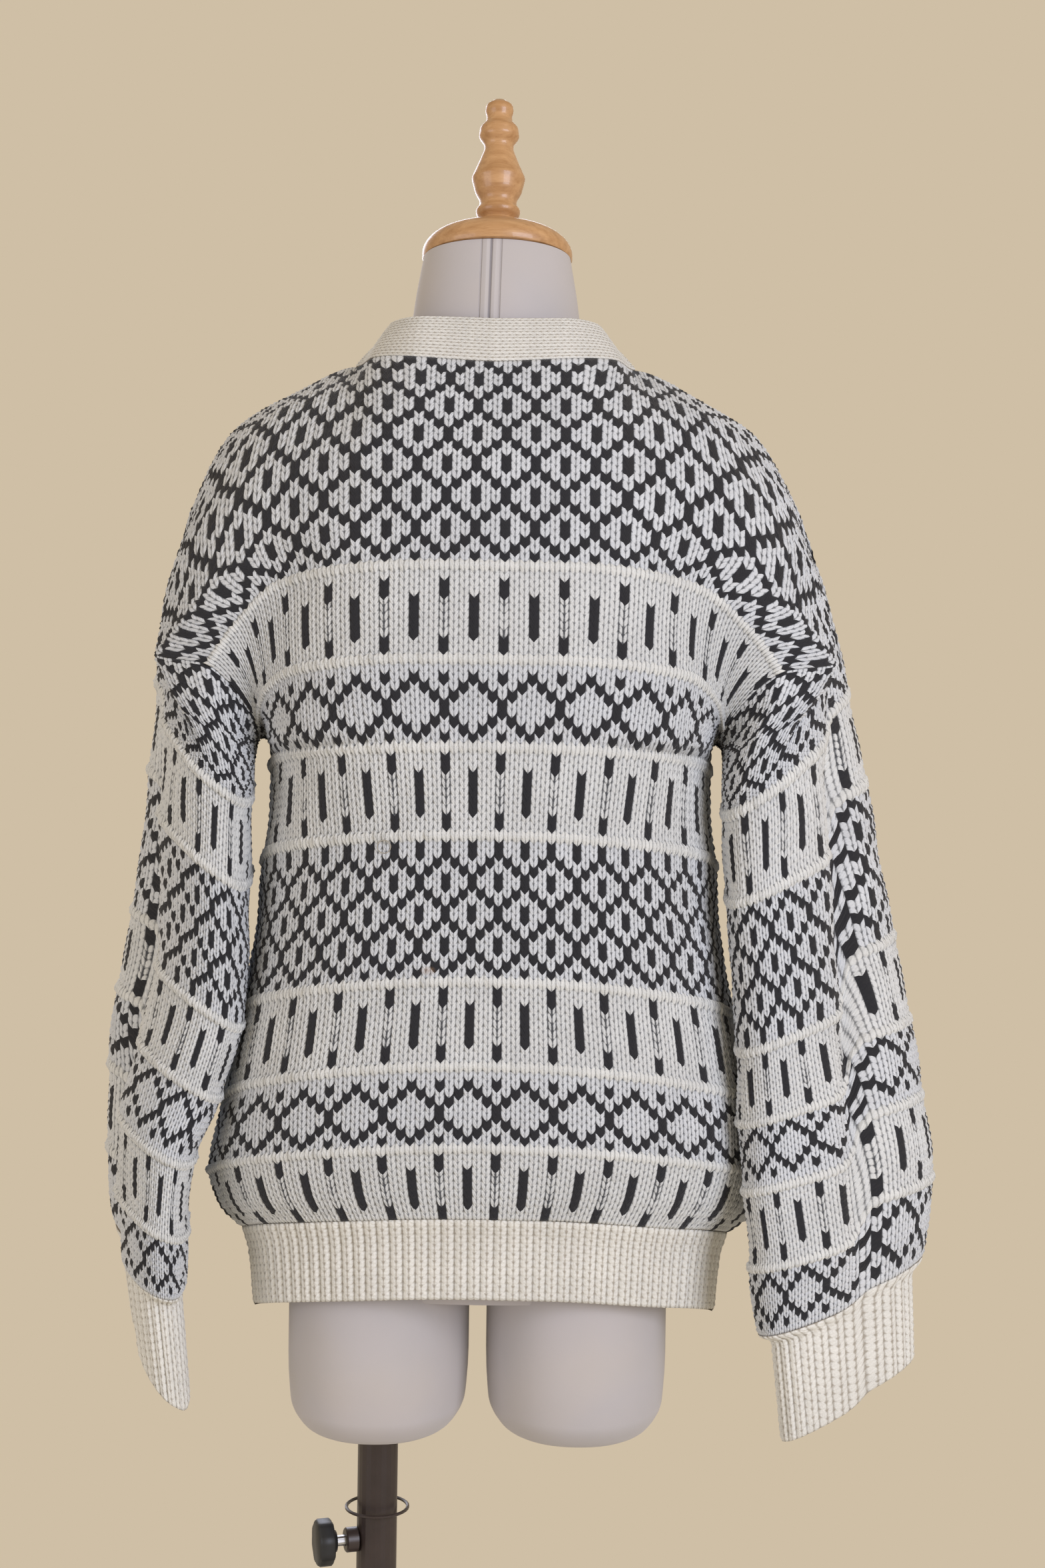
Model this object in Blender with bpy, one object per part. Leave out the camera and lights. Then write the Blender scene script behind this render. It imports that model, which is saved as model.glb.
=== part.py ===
"""Fair-Isle cardigan on a limbless dress form with a floor stand.

Metres, +Z up. The front faces -Y and the wearer's left is +X. The origin is the centre of
the base plate's underside, on the pole's axis; the form stands to one side of the pole.
Every knitted piece is a wall of even thickness through rows of points. Rows are counted in
knitted rows, upwards from the hem rib on the body and down from the armhole on a sleeve.
"""

import math

import bmesh
import bpy
import numpy as np

MM = 0.001
FORM_X = -77 * MM
GAP = 0.3 * MM
WALL = 2.5 * MM
RIDGE = 1.6 * MM
RIDGE_ROWS = 0.75
RIB_DEPTH = 1.6 * MM
# How far a wall's coarser inside stops short of the ribbing sewn below it.
LIP = 0.6 * MM

# Rows from the rib's top edge up to each purl ridge, to the underarm and to the shoulder.
BODY_RIDGES = (9, 19, 29, 47, 57, 67, 78)
UNDERARM_ROW, V_ROW, TOP_ROW = 59, 63, 106
# Rows from the armhole seam down to each ridge of a sleeve, and to its cuff.
SLEEVE_RIDGES = (10, 20, 38, 48, 58, 68)
CUFF_ROW = 78
NECK_SHARE = 0.41
HEM_RIB = 58 * MM
HEM_RIBS_BACK, HEM_RIBS_FRONT = 48, 24
CUFF_RIBS = 26
BAND = 30 * MM
BUTTONS = 5
BUTTON_R, BUTTON_T = 10 * MM, 3.6 * MM

POLE_R, POLE_BORE_R, INNER_POLE_R = 15 * MM, 13.1 * MM, 12.7 * MM
TUBE_BOTTOM, TUBE_TOP = 140 * MM, 740 * MM
INNER_TOP = 700 * MM
BASE_R, BASE_T = 190 * MM, 8 * MM
RING_Z, RING_R, RING_WIRE_R = 517 * MM, 23 * MM, 1.3 * MM
KNOB_Z, KNOB_R, KNOB_T = 494 * MM, 17 * MM, 15 * MM
KNOB_YAW = math.radians(18)

# Body sections: centre-back height, drop of the row at the side seam, half width, back and
# front depth, and where the side seam lies fore and aft.
BODY_COLUMNS = ("row", "z_back", "drop", "z_front", "half", "back", "front", "seam_y")
BODY = (
    (0, 0.760, 0.028, 0.727, 0.180, 0.124, 0.116, 0.028),
    (4, 0.783, 0.033, 0.750, 0.197, 0.131, 0.124, 0.028),
    (9, 0.811, 0.038, 0.780, 0.203, 0.135, 0.129, 0.028),
    (19, 0.8675, 0.042, 0.838, 0.196, 0.136, 0.131, 0.027),
    (29, 0.925, 0.036, 0.897, 0.182, 0.135, 0.132, 0.025),
    (38, 0.975, 0.030, 0.949, 0.172, 0.136, 0.132, 0.022),
    (47, 1.025, 0.024, 1.002, 0.166, 0.137, 0.132, 0.019),
    (57, 1.085, 0.014, 1.061, 0.162, 0.138, 0.132, 0.016),
)
# The upper back, left half: for each row its points at set shares of the way from centre
# back to the armhole. The last row is the neckline, up to its corner, and the shoulder seam.
BACK_SHARES = (0.0, 0.20, 0.31, NECK_SHARE, 0.60, 0.80, 1.0)
UPPER_BACK = {
    59: ((0, 0.138, 1.097), (0.052, 0.136, 1.097), (0.080, 0.132, 1.096), (0.104, 0.124, 1.094),
         (0.140, 0.100, 1.090), (0.158, 0.065, 1.088), (0.163, 0.015, 1.088)),
    67: ((0, 0.137, 1.145), (0.052, 0.135, 1.145), (0.080, 0.131, 1.144), (0.105, 0.123, 1.142),
         (0.141, 0.101, 1.136), (0.160, 0.083, 1.120), (0.167, 0.060, 1.101)),
    78: ((0, 0.134, 1.209), (0.052, 0.132, 1.209), (0.081, 0.127, 1.208), (0.107, 0.118, 1.206),
         (0.147, 0.095, 1.198), (0.177, 0.086, 1.172), (0.199, 0.083, 1.141)),
    85: ((0, 0.127, 1.249), (0.052, 0.125, 1.249), (0.081, 0.118, 1.249), (0.110, 0.107, 1.247),
         (0.161, 0.084, 1.234), (0.209, 0.071, 1.191), (0.242, 0.054, 1.151)),
    92: ((0, 0.118, 1.288), (0.052, 0.115, 1.288), (0.082, 0.107, 1.290), (0.112, 0.091, 1.293),
         (0.163, 0.067, 1.284), (0.213, 0.042, 1.243), (0.240, 0.031, 1.188)),
    99: ((0, 0.104, 1.325), (0.052, 0.100, 1.326), (0.084, 0.085, 1.331), (0.110, 0.057, 1.338),
         (0.155, 0.036, 1.329), (0.204, 0.014, 1.296), (0.234, 0.005, 1.227)),
    106: ((0, 0.085, 1.359), (0.052, 0.077, 1.3625), (0.088, 0.046, 1.369), (0.105, 0.000, 1.372),
          (0.149, -0.004, 1.353), (0.196, -0.008, 1.3245), (0.2265, -0.012, 1.268)),
}
# The upper front, left half: from the V-neck's edge to the armhole.
FRONT_SHARES = (0.0, 0.33, 0.66, 1.0)
UPPER_FRONT = {
    59: ((0.0155, -0.132, 1.072), (0.072, -0.127, 1.076), (0.135, -0.090, 1.084)),
    67: ((0.021, -0.131, 1.113), (0.076, -0.125, 1.118), (0.140, -0.088, 1.114)),
    78: ((0.040, -0.126, 1.176), (0.088, -0.116, 1.181), (0.150, -0.092, 1.172)),
    85: ((0.053, -0.118, 1.217), (0.103, -0.104, 1.221), (0.172, -0.090, 1.200)),
    92: ((0.067, -0.104, 1.262), (0.118, -0.087, 1.266), (0.184, -0.074, 1.248)),
    99: ((0.085, -0.076, 1.313), (0.130, -0.060, 1.316), (0.190, -0.050, 1.297)),
}
FRONT_ARMHOLE = {
    59: (0.163, 0.015, 1.088), 67: (0.167, -0.042, 1.099), 78: (0.199, -0.077, 1.140),
    85: (0.240, -0.058, 1.154), 92: (0.240, -0.052, 1.191), 99: (0.234, -0.036, 1.229),
}
# How much further out the right shoulder and sleeve lie than the left.
RIGHT_REACH_COLUMNS = ("z", "more")
RIGHT_REACH = ((1.09, 0.004), (1.15, 0.007), (1.22, 0.006), (1.27, 0.003), (1.32, 0.0))

# Sleeve sections from the armhole to the cuff: centre, half width and half thickness of the
# flattened tube, its turn in plan from the X axis, its middle height, the height that a row
# gains outwards along the width and across the thickness, and the depth and the height jump
# of the long valley down its back.
SLEEVE_COLUMNS = ("row", "x", "y", "wide", "thick", "turn", "z", "rise", "roll", "valley", "jump")
SLEEVES = {
    "right": (
        (5, 0.2110, 0.012, 0.093, 0.039, 68, 1.119, 0.044, 0.024, 0.000, 0.000),
        (10, 0.2180, 0.012, 0.094, 0.040, 66, 1.086, 0.036, 0.022, 0.008, 0.012),
        (20, 0.2260, 0.016, 0.092, 0.040, 60, 1.022, 0.026, 0.012, 0.014, 0.034),
        (29, 0.2340, 0.024, 0.090, 0.038, 55, 0.966, 0.022, 0.010, 0.014, 0.036),
        (38, 0.2410, 0.034, 0.088, 0.036, 50, 0.912, 0.020, 0.008, 0.013, 0.036),
        (48, 0.2470, 0.046, 0.084, 0.034, 42, 0.857, 0.016, 0.006, 0.012, 0.034),
        (58, 0.2530, 0.056, 0.083, 0.031, 36, 0.806, 0.014, 0.005, 0.010, 0.030),
        (68, 0.2590, 0.060, 0.080, 0.029, 33, 0.750, 0.014, 0.004, 0.008, 0.024),
        (78, 0.2590, 0.060, 0.074, 0.026, 33, 0.697, 0.018, 0.003, 0.004, 0.006),
    ),
    "left": (
        (5, 0.2070, 0.010, 0.093, 0.037, 72, 1.119, 0.044, 0.024, 0.000, 0.000),
        (10, 0.2090, 0.010, 0.094, 0.037, 74, 1.090, 0.036, 0.026, 0.004, 0.008),
        (20, 0.2120, 0.012, 0.092, 0.037, 72, 1.026, 0.028, 0.024, 0.008, 0.014),
        (29, 0.2150, 0.014, 0.090, 0.036, 68, 0.972, 0.026, 0.022, 0.010, 0.016),
        (38, 0.2190, 0.018, 0.088, 0.035, 65, 0.922, 0.024, 0.020, 0.012, 0.018),
        (48, 0.2310, 0.024, 0.084, 0.034, 65, 0.868, 0.020, 0.018, 0.014, 0.018),
        (58, 0.2420, 0.028, 0.083, 0.031, 71, 0.818, 0.018, 0.014, 0.014, 0.016),
        (68, 0.2440, 0.030, 0.080, 0.029, 72, 0.762, 0.016, 0.012, 0.010, 0.012),
        (78, 0.2420, 0.032, 0.074, 0.026, 72, 0.716, 0.018, 0.006, 0.004, 0.004),
    ),
}
# Cuffs: the fall of the hem's middle, its shift in plan, its size against the sleeve's end
# and the further drop of the hem at the inner side.
CUFF_COLUMNS = ("fall", "dx", "dy", "size", "inner_drop")
CUFFS = {"right": (0.076, 0.006, -0.002, 0.80, 0.006), "left": (0.076, -0.012, 0.014, 0.80, 0.010)}

# Dress form sections: height, half width, back and front depth, roundness of the section
# and the forward tilt of the section, in degrees.
FORM_COLUMNS = ("z", "half", "back", "front", "power", "tilt")
FORM = (
    (0.690, 0.128, 0.082, 0.062, 2.3, 0),
    (0.720, 0.142, 0.094, 0.078, 2.3, 0),
    (0.780, 0.156, 0.113, 0.092, 2.3, 0),
    (0.840, 0.160, 0.115, 0.099, 2.3, 0),
    (0.900, 0.152, 0.107, 0.099, 2.2, 0),
    (0.960, 0.132, 0.092, 0.090, 2.1, 0),
    (1.020, 0.116, 0.084, 0.086, 2.1, 0),
    (1.080, 0.128, 0.096, 0.103, 2.1, 0),
    (1.140, 0.142, 0.110, 0.121, 2.1, 0),
    (1.180, 0.148, 0.116, 0.118, 2.1, 0),
    (1.230, 0.154, 0.114, 0.100, 2.0, 0),
    (1.270, 0.166, 0.104, 0.082, 1.9, 0),
    (1.300, 0.176, 0.094, 0.068, 1.8, 0),
    (1.3225, 0.172, 0.078, 0.050, 1.5, 0),
    (1.340, 0.154, 0.070, 0.044, 1.35, 0),
    (1.354, 0.1295, 0.062, 0.040, 1.3, 0),
    (1.368, 0.0985, 0.060, 0.040, 1.35, 0),
    (1.382, 0.0755, 0.060, 0.046, 1.7, 1),
    (1.400, 0.064, 0.058, 0.056, 2.0, 2),
    (1.425, 0.060, 0.053, 0.056, 2.0, 3),
    (1.453, 0.055, 0.046, 0.060, 2.0, 4),
)
STUMP_COLUMNS = ("z", "half", "back", "front")
STUMP = (
    (0.5800, 0.026, 0.030, 0.022),
    (0.5815, 0.042, 0.054, 0.040),
    (0.5890, 0.057, 0.074, 0.058),
    (0.6050, 0.065, 0.086, 0.068),
    (0.6400, 0.067, 0.091, 0.072),
    (0.7000, 0.067, 0.091, 0.074),
    (0.7600, 0.064, 0.090, 0.072),
)
STUMP_X = {"left": 0.077, "right": -0.070}
NECK_TILT = math.radians(4)
NECK_TOP = (0.0, -0.0075, 1.4526)
CAP_R, CAP_H = 56.5 * MM, 24 * MM
# Finial profile: radius and height above the cap, in millimetres.
FINIAL = (
    (18.0, 0.0), (18.0, 4.0), (12.0, 8.0), (16.0, 11.0), (17.0, 15.0), (14.0, 19.0),
    (14.0, 23.0), (17.5, 29.0), (19.35, 36.0), (20.3, 40.0), (19.0, 43.0), (15.0, 52.0),
    (11.0, 62.0), (11.0, 66.0), (15.25, 72.0), (14.5, 79.0), (10.0, 84.0), (9.5, 88.0),
    (10.75, 92.0), (10.0, 97.0), (5.0, 100.0),
)

collection = bpy.data.collections.new("fair_isle_cardigan_on_form")


def material(name, colour, roughness, metallic=0.0):
    made = bpy.data.materials.new(name)
    made.use_nodes = True
    shader = made.node_tree.nodes["Principled BSDF"]
    shader.inputs["Base Color"].default_value = (*colour, 1)
    shader.inputs["Roughness"].default_value = roughness
    shader.inputs["Metallic"].default_value = metallic
    return made


def slope(x, y):
    """Slopes at the points of a curve that keep it from overshooting them."""
    step = np.diff(x)[:, None]
    rise = np.diff(y, axis=0) / step
    inside = np.where(rise[:-1] * rise[1:] > 0, 2 * rise[:-1] * rise[1:] / (rise[:-1] + rise[1:] + 1e-30), 0)
    return np.vstack([rise[:1], inside, rise[-1:]])


def through(x, y, at):
    """Smooth curve through the points y, one for each x, read at the places at."""
    x = np.asarray(x, float)
    y = np.asarray(y, float).reshape(len(x), -1)
    at = np.clip(np.atleast_1d(np.asarray(at, float)), x[0], x[-1])
    i = np.clip(np.searchsorted(x, at, side="right") - 1, 0, len(x) - 2)
    h = (x[i + 1] - x[i])[:, None]
    t = ((at - x[i])[:, None]) / h
    m = slope(x, y)
    return (
        (1 + 2 * t) * (1 - t) ** 2 * y[i]
        + t * (1 - t) ** 2 * h * m[i]
        + t * t * (3 - 2 * t) * y[i + 1]
        + t * t * (t - 1) * h * m[i + 1]
    )


def read(columns, table, at):
    """The columns of a table at the places at of its first column, by name."""
    rows = np.array(table, float)
    return dict(zip(columns[1:], through(rows[:, 0], rows[:, 1:], at).T))


def smooth(t):
    t = np.clip(t, 0, 1)
    return t * t * (3 - 2 * t)


def section(angle, half, back, front, power):
    """Plan of a rounded section: 0 at its left side, a quarter turn at its back."""
    c = np.cos(angle)
    s = np.sin(angle)
    depth = np.where(s > 0, back, front)
    return (
        half * np.sign(c) * np.abs(c) ** (2 / power),
        depth * np.sign(s) * np.abs(s) ** (2 / power),
    )


BODY_POWER = 2.4


def body_row(row, shares, side):
    """One row of the lower body, from its middle (share 0) to the side seam (share 1)."""
    v = {k: a[0] for k, a in read(BODY_COLUMNS, BODY, row).items()}
    turn = np.linspace(0, math.pi / 2, 400) if side > 0 else np.linspace(-math.pi / 2, math.pi / 2, 800)
    x, y = section(turn, v["half"], v["back"], v["front"], BODY_POWER)
    if side > 0:
        keep = y >= v["seam_y"]
        x, y = x[keep][::-1], y[keep][::-1]
        z_mid = v["z_back"]
    else:
        keep = (y <= v["seam_y"]) & (x >= BAND / 2)
        x, y = x[keep], y[keep]
        z_mid = v["z_front"]
    z_side = v["z_back"] - v["drop"]
    along = np.concatenate([[0], np.cumsum(np.hypot(np.diff(x), np.diff(y)))])
    at = np.asarray(shares) * along[-1]
    points = np.stack([np.interp(at, along, x), np.interp(at, along, y)], 1)
    z = z_mid + (z_side - z_mid) * np.asarray(shares) ** 2
    return np.column_stack([points, z])


def control_rows(side):
    """The rows that carry a panel's shape, as (row numbers, shares, points)."""
    shares = BACK_SHARES if side > 0 else FRONT_SHARES
    rows = [r[0] for r in BODY]
    points = [body_row(r, shares, side) for r in rows]
    if side > 0:
        upper = {r: np.array(p, float) for r, p in UPPER_BACK.items()}
    else:
        upper = {r: np.array((*p, FRONT_ARMHOLE[r]), float) for r, p in UPPER_FRONT.items()}
        shoulder_shares = NECK_SHARE + (1 - NECK_SHARE) * np.array(FRONT_SHARES)
        upper[TOP_ROW] = through(BACK_SHARES, UPPER_BACK[TOP_ROW], shoulder_shares)
    for row, line in upper.items():
        rows.append(row)
        points.append(line)
    return np.array(rows, float), np.array(shares), np.array(points)


CONTROL = {1: control_rows(1), -1: control_rows(-1)}


def panel_points(side, rows, shares, hand):
    """Grid of points of the back (side 1) or a front (side -1); hand 1 is the wearer's left."""
    at_rows, at_shares, points = CONTROL[side]
    flat = through(at_rows, points.reshape(len(at_rows), -1), rows)
    grid = flat.reshape(len(rows), len(at_shares), 3).transpose(1, 0, 2).reshape(len(at_shares), -1)
    full = through(at_shares, grid, shares).reshape(len(shares), len(rows), 3).transpose(1, 0, 2)
    if hand < 0:
        more = read(RIGHT_REACH_COLUMNS, RIGHT_REACH, full[..., 2].ravel())["more"].reshape(full.shape[:2])
        full = full.copy()
        full[..., 0] += more * smooth((full[..., 0] - 0.14) / 0.06)
        full[..., 0] *= -1
    return full


def unit(v):
    return v / np.maximum(np.linalg.norm(v, axis=-1, keepdims=True), 1e-12)


def normals(grid, wrap, outward):
    """Unit normals of a grid of points, on the side that outward (a sign) asks for."""
    if wrap:
        around = np.roll(grid, -1, 1) - np.roll(grid, 1, 1)
    else:
        around = np.gradient(grid, axis=1)
    along = np.gradient(grid, axis=0)
    return unit(np.cross(around, along)) * outward


def across_edge(line, normal, inside):
    """Unit directions square to an edge line and to its normals, towards the inside."""
    tangent = unit(np.gradient(line, axis=0))
    square = unit(np.cross(normal, tangent))
    return square * np.sign((square * (inside - line)).sum(axis=1, keepdims=True))


def drawn_in(grid, normal, edges):
    """The grid with the named border rows and columns moved half a seam gap into the piece."""
    out = grid.copy()
    for name, at, beside in (("left", (slice(None), 0), 1), ("right", (slice(None), -1), -2)):
        if name in edges:
            out[at] += across_edge(grid[at], normal[at], grid[:, beside]) * GAP / 2
    if "high" in edges:
        out[-1] += across_edge(grid[-1], normal[-1], grid[-2]) * GAP / 2
    return out


def rim(bm, outer, inner, picks, wrap):
    """Faces between a fine border loop and a coarse one whose points face those at picks."""
    n = len(outer)
    last = len(inner) if wrap else len(inner) - 1
    for i in range(last):
        a = picks[i]
        b = picks[(i + 1) % len(inner)]
        if b <= a:
            b += n
        low, high = inner[i], inner[(i + 1) % len(inner)]
        middle = (a + b) // 2
        for k in range(a, b):
            pair = (outer[k % n], outer[(k + 1) % n])
            bm.faces.new((pair[0], pair[1], low if k < middle else high))
        bm.faces.new((low, outer[middle % n], high))


def wall(name, outer, inner, row_picks, col_picks, wrap, skin):
    """A closed wall between a fine outer grid and a coarser inner one."""
    bm = bmesh.new()
    fine = [[bm.verts.new(p) for p in row] for row in outer]
    coarse = [[bm.verts.new(p) for p in row] for row in inner]
    for lines in (fine, coarse):
        wide = len(lines[0])
        for a, b in zip(lines, lines[1:]):
            for i in range(wide if wrap else wide - 1):
                j = (i + 1) % wide
                bm.faces.new((a[i], a[j], b[j], b[i]))
    rim(bm, fine[0], coarse[0], col_picks, wrap)
    rim(bm, fine[-1], coarse[-1], col_picks, wrap)
    if not wrap:
        rim(bm, [r[0] for r in fine], [r[0] for r in coarse], row_picks, False)
        rim(bm, [r[-1] for r in fine], [r[-1] for r in coarse], row_picks, False)
    bmesh.ops.recalc_face_normals(bm, faces=bm.faces)
    return add(name, bm, skin)


def add(name, bm, skin, angle=40):
    mesh = bpy.data.meshes.new(name)
    bm.to_mesh(mesh)
    bm.free()
    mesh.shade_smooth()
    mesh.set_sharp_from_angle(angle=math.radians(angle))
    made = bpy.data.objects.new(name, mesh)
    made.data.materials.append(skin)
    collection.objects.link(made)
    return made


def ridge_rows(ridges, between):
    """Row numbers of a grid: three for each ridge, and the given ones between."""
    rows = set(between)
    for r in ridges:
        rows |= {r - RIDGE_ROWS, float(r), r + RIDGE_ROWS}
    return sorted(rows)


def raised(base, normal, rows, ridges):
    out = base.copy()
    for i, row in enumerate(rows):
        if row in ridges:
            out[i] += normal[i] * RIDGE
    return out


BODY_ROWS = ridge_rows(
    BODY_RIDGES, (0, 2.5, 5.5, 14, 24, 34, 38.0, 42, 52, UNDERARM_ROW, 62.5, 72.5, 82.5, 87, 91, 95, 99, 102.5, TOP_ROW)
)
ARMHOLE_ROWS = [r for r in BODY_ROWS if r >= UNDERARM_ROW]
BACK_HALF = np.concatenate([np.linspace(0, NECK_SHARE, 6), np.linspace(NECK_SHARE, 1, 9)[1:]])
FRONT_HALF = np.linspace(0, 1, 9)


def outward_normals(grid):
    """Unit normals of a body panel, turned away from the form."""
    normal = normals(grid, False, 1)
    low, middle = len(grid) // 3, grid.shape[1] // 2
    return normal * np.sign(np.dot(normal[low, middle], grid[low, middle] * (1, 1, 0)))


def body_panels():
    """Points and normals of the three body panels, with the same normals where they meet."""
    left = panel_points(1, BODY_ROWS, BACK_HALF, 1)
    right = panel_points(1, BODY_ROWS, BACK_HALF, -1)
    back = np.concatenate([right[:, ::-1], left[:, 1:]], 1)
    back_normal = outward_normals(back)
    back_normal[0] = unit(back_normal[0] * (1, 1, 0))
    panels = {"back": (back, back_normal)}
    side_rows = BODY_ROWS.index(UNDERARM_ROW) + 1
    shoulder = len(FRONT_HALF)
    for name, hand in (("front_left", 1), ("front_right", -1)):
        grid = panel_points(-1, BODY_ROWS, FRONT_HALF, hand)
        normal = outward_normals(grid)
        straight = [i for i, r in enumerate(BODY_ROWS) if r <= V_ROW]
        normal[straight, 0] = (0, -1, 0)
        edge = -1 if hand > 0 else 0
        top = slice(-shoulder, None) if hand > 0 else slice(shoulder - 1, None, -1)
        for mine, theirs in (
            ((slice(0, side_rows), -1), (slice(0, side_rows), edge)),
            ((-1, slice(None)), (-1, top)),
        ):
            shared = unit(normal[mine] + back_normal[theirs])
            normal[mine] = shared
            back_normal[theirs] = shared
        normal[0] = unit(normal[0] * (1, 1, 0))
        back_normal[0] = unit(back_normal[0] * (1, 1, 0))
        panels[name] = (grid, normal)
    return panels


def picks_of(count, step):
    picks = list(range(0, count, step))
    if picks[-1] != count - 1:
        picks.append(count - 1)
    return picks


# The inside's rows meet each ridge's crest, so the wall's edge has no thin slivers.
INNER_ROWS = [BODY_ROWS.index(r) for r in (0, 9.0, 19.0, 29.0, 38.0, 47.0, 57.0, UNDERARM_ROW, 67.0, 72.5, 78.0,
                                          82.5, 87, 91, 95, 99, 102.5, TOP_ROW)]


def make_panel(name, grid, normal, skin):
    base = drawn_in(grid, normal, ("left", "right", "high") if name == "back" else ("right", "high"))
    outer = raised(base, normal, BODY_ROWS, BODY_RIDGES)
    cols = picks_of(grid.shape[1], 2)
    inner = (base - normal * WALL)[np.ix_(INNER_ROWS, cols)]
    inner[0, :, 2] += LIP
    wall(name, outer, inner, INNER_ROWS, cols, False, skin)


def along_line(points, shares):
    """Points at the given shares of the way along a polyline, counted by its points."""
    at = np.asarray(shares) * (len(points) - 1)
    i = np.clip(at.astype(int), 0, len(points) - 2)
    t = (at - i)[:, None]
    return points[i] * (1 - t) + points[i + 1] * t


def hem_rib(name, grid, normal, ribs, skin):
    """The ribbed hem below a panel, from the panel's own bottom row."""
    shares = np.linspace(0, 1, 2 * ribs + 1)
    top = along_line(grid[0], shares)
    out = unit(along_line(normal[0], shares) * (1, 1, 0))
    rows = []
    for part, tuck in ((0, 0.0), (0.3, 0.006), (1.0, 0.0105)):
        line = top - out * tuck
        line[:, 2] -= GAP + part * HEM_RIB
        rows.append(line)
    base = drawn_in(np.array(rows), np.repeat(out[None], len(rows), 0), ("left", "right"))
    crest = np.where(np.arange(2 * ribs + 1) % 2 == 1, 0.0, -RIB_DEPTH)
    outer = base + out[None] * crest[None, :, None]
    cols = picks_of(2 * ribs + 1, 8)
    inner = (base - out[None] * (WALL + RIB_DEPTH))[:, cols]
    wall(name, outer, inner, [0, 1, 2], cols, False, skin)


def armhole(hand, panels):
    """One armhole seam from the shoulder's end round the back: points, ways out of the panel, normals."""
    first = len(BODY_ROWS) - len(ARMHOLE_ROWS)
    lines = []
    for name, column in (("back", -1 if hand > 0 else 0), ("front_left" if hand > 0 else "front_right", -1)):
        grid, normal = panels[name]
        beside = grid[first:, column - 1 if column else 1]
        line, out = grid[first:, column], normal[first:, column]
        lines.append((line, -across_edge(line, out, beside), out))
    (edge, away, out), (front_edge, front_away, front_out) = lines
    return (
        np.concatenate([edge[::-1], front_edge[1:-1]]),
        np.concatenate([away[::-1], front_away[1:-1]]),
        np.concatenate([out[::-1], front_out[1:-1]]),
    )


def sleeve_ring(hand, row, turn):
    """Points of one sleeve section; turn 0 faces outwards and a quarter turn faces back."""
    side = "left" if hand > 0 else "right"
    v = {k: a[0] for k, a in read(SLEEVE_COLUMNS, SLEEVES[side], row).items()}
    yaw = math.radians(v["turn"])
    w, t = section(2 * math.pi * turn + yaw, 1.0, 1.0, INNER_SIDE, 2.3)
    back = np.clip(t, 0, 1)
    dip = v["valley"] * np.exp(-((w / 0.22) ** 2)) * back
    along, across = w * v["wide"], t * v["thick"] - dip
    x = v["x"] + along * math.cos(yaw) + across * math.sin(yaw)
    y = v["y"] - along * math.sin(yaw) + across * math.cos(yaw)
    step = v["jump"] / 2
    z = v["z"] + (v["rise"] + step) * w + v["roll"] * t
    z = z + back * step * (np.tanh(w / 0.12) - w)
    return np.column_stack([x * hand, y, z])


# The side of a sleeve that faces the body is pressed flatter than its other side.
INNER_SIDE = 0.75
SLEEVE_ROWS = ridge_rows(SLEEVE_RIDGES, (0, 1.5, 5, 15, 26, 32, 43, 53, 63, 73, CUFF_ROW))
SLEEVE_INNER = [SLEEVE_ROWS.index(r) for r in (0, 1.5, 5, 10.0, 20.0, 26, 32, 38.0, 48.0, 58.0, 68.0, CUFF_ROW)]

# How far each of a sleeve's first rows runs straight on from the panel that it is sewn to.
SEAM_STRETCH = 3.0 * MM
# A sleeve's inner columns start at the inner rows of the panels that it is sewn to.
ARMHOLE_PICKS = [ARMHOLE_ROWS.index(BODY_ROWS[i]) for i in INNER_ROWS if BODY_ROWS[i] >= UNDERARM_ROW]
LAST_PICK = len(ARMHOLE_ROWS) - 1
SLEEVE_COLS = [LAST_PICK - i for i in ARMHOLE_PICKS[::-1]] + [LAST_PICK + i for i in ARMHOLE_PICKS[1:-1]]


def sleeve_grid(hand, panels):
    """Rings of a sleeve, with unit normals and the inner points of its first ring."""
    edge, away, out = armhole(hand, panels)
    n = len(edge)
    arc = np.concatenate([[0], np.cumsum(np.linalg.norm(np.diff(np.vstack([edge, edge[:1]]), axis=0), axis=1))])
    seam_turn = arc[:-1] / arc[-1]
    even_turn = np.arange(n) / n
    first = edge + away * GAP / 2
    rings = [first]
    for row in SLEEVE_ROWS[1:]:
        blend = smooth(row / 9.0)
        turn = seam_turn * (1 - blend) + even_turn * blend
        target = sleeve_ring(hand, max(row, 5), turn)
        share = smooth((row / 9.0) ** 0.8)
        leaving = first + away * row * SEAM_STRETCH
        rings.append(leaving * (1 - share) + target * share)
    grid = np.array(rings)
    normal = normals(grid, True, 1)
    centre = grid.mean(axis=1, keepdims=True)
    if (normal * (grid - centre)).sum() < 0:
        normal = -normal
    normal[-1] = unit(normal[-1] * (1, 1, 0))
    return grid, normal, first - out * WALL


def make_sleeve(name, hand, panels, skin):
    grid, normal, first_inner = sleeve_grid(hand, panels)
    outer = raised(grid, normal, SLEEVE_ROWS, SLEEVE_RIDGES)
    inner = (grid - normal * WALL)[np.ix_(SLEEVE_INNER, SLEEVE_COLS)]
    inner[0] = first_inner[SLEEVE_COLS]
    inner[-1, :, 2] += 2 * LIP
    wall(name, outer, inner, SLEEVE_INNER, SLEEVE_COLS, True, skin)
    return grid[-1], normal[-1]


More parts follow.
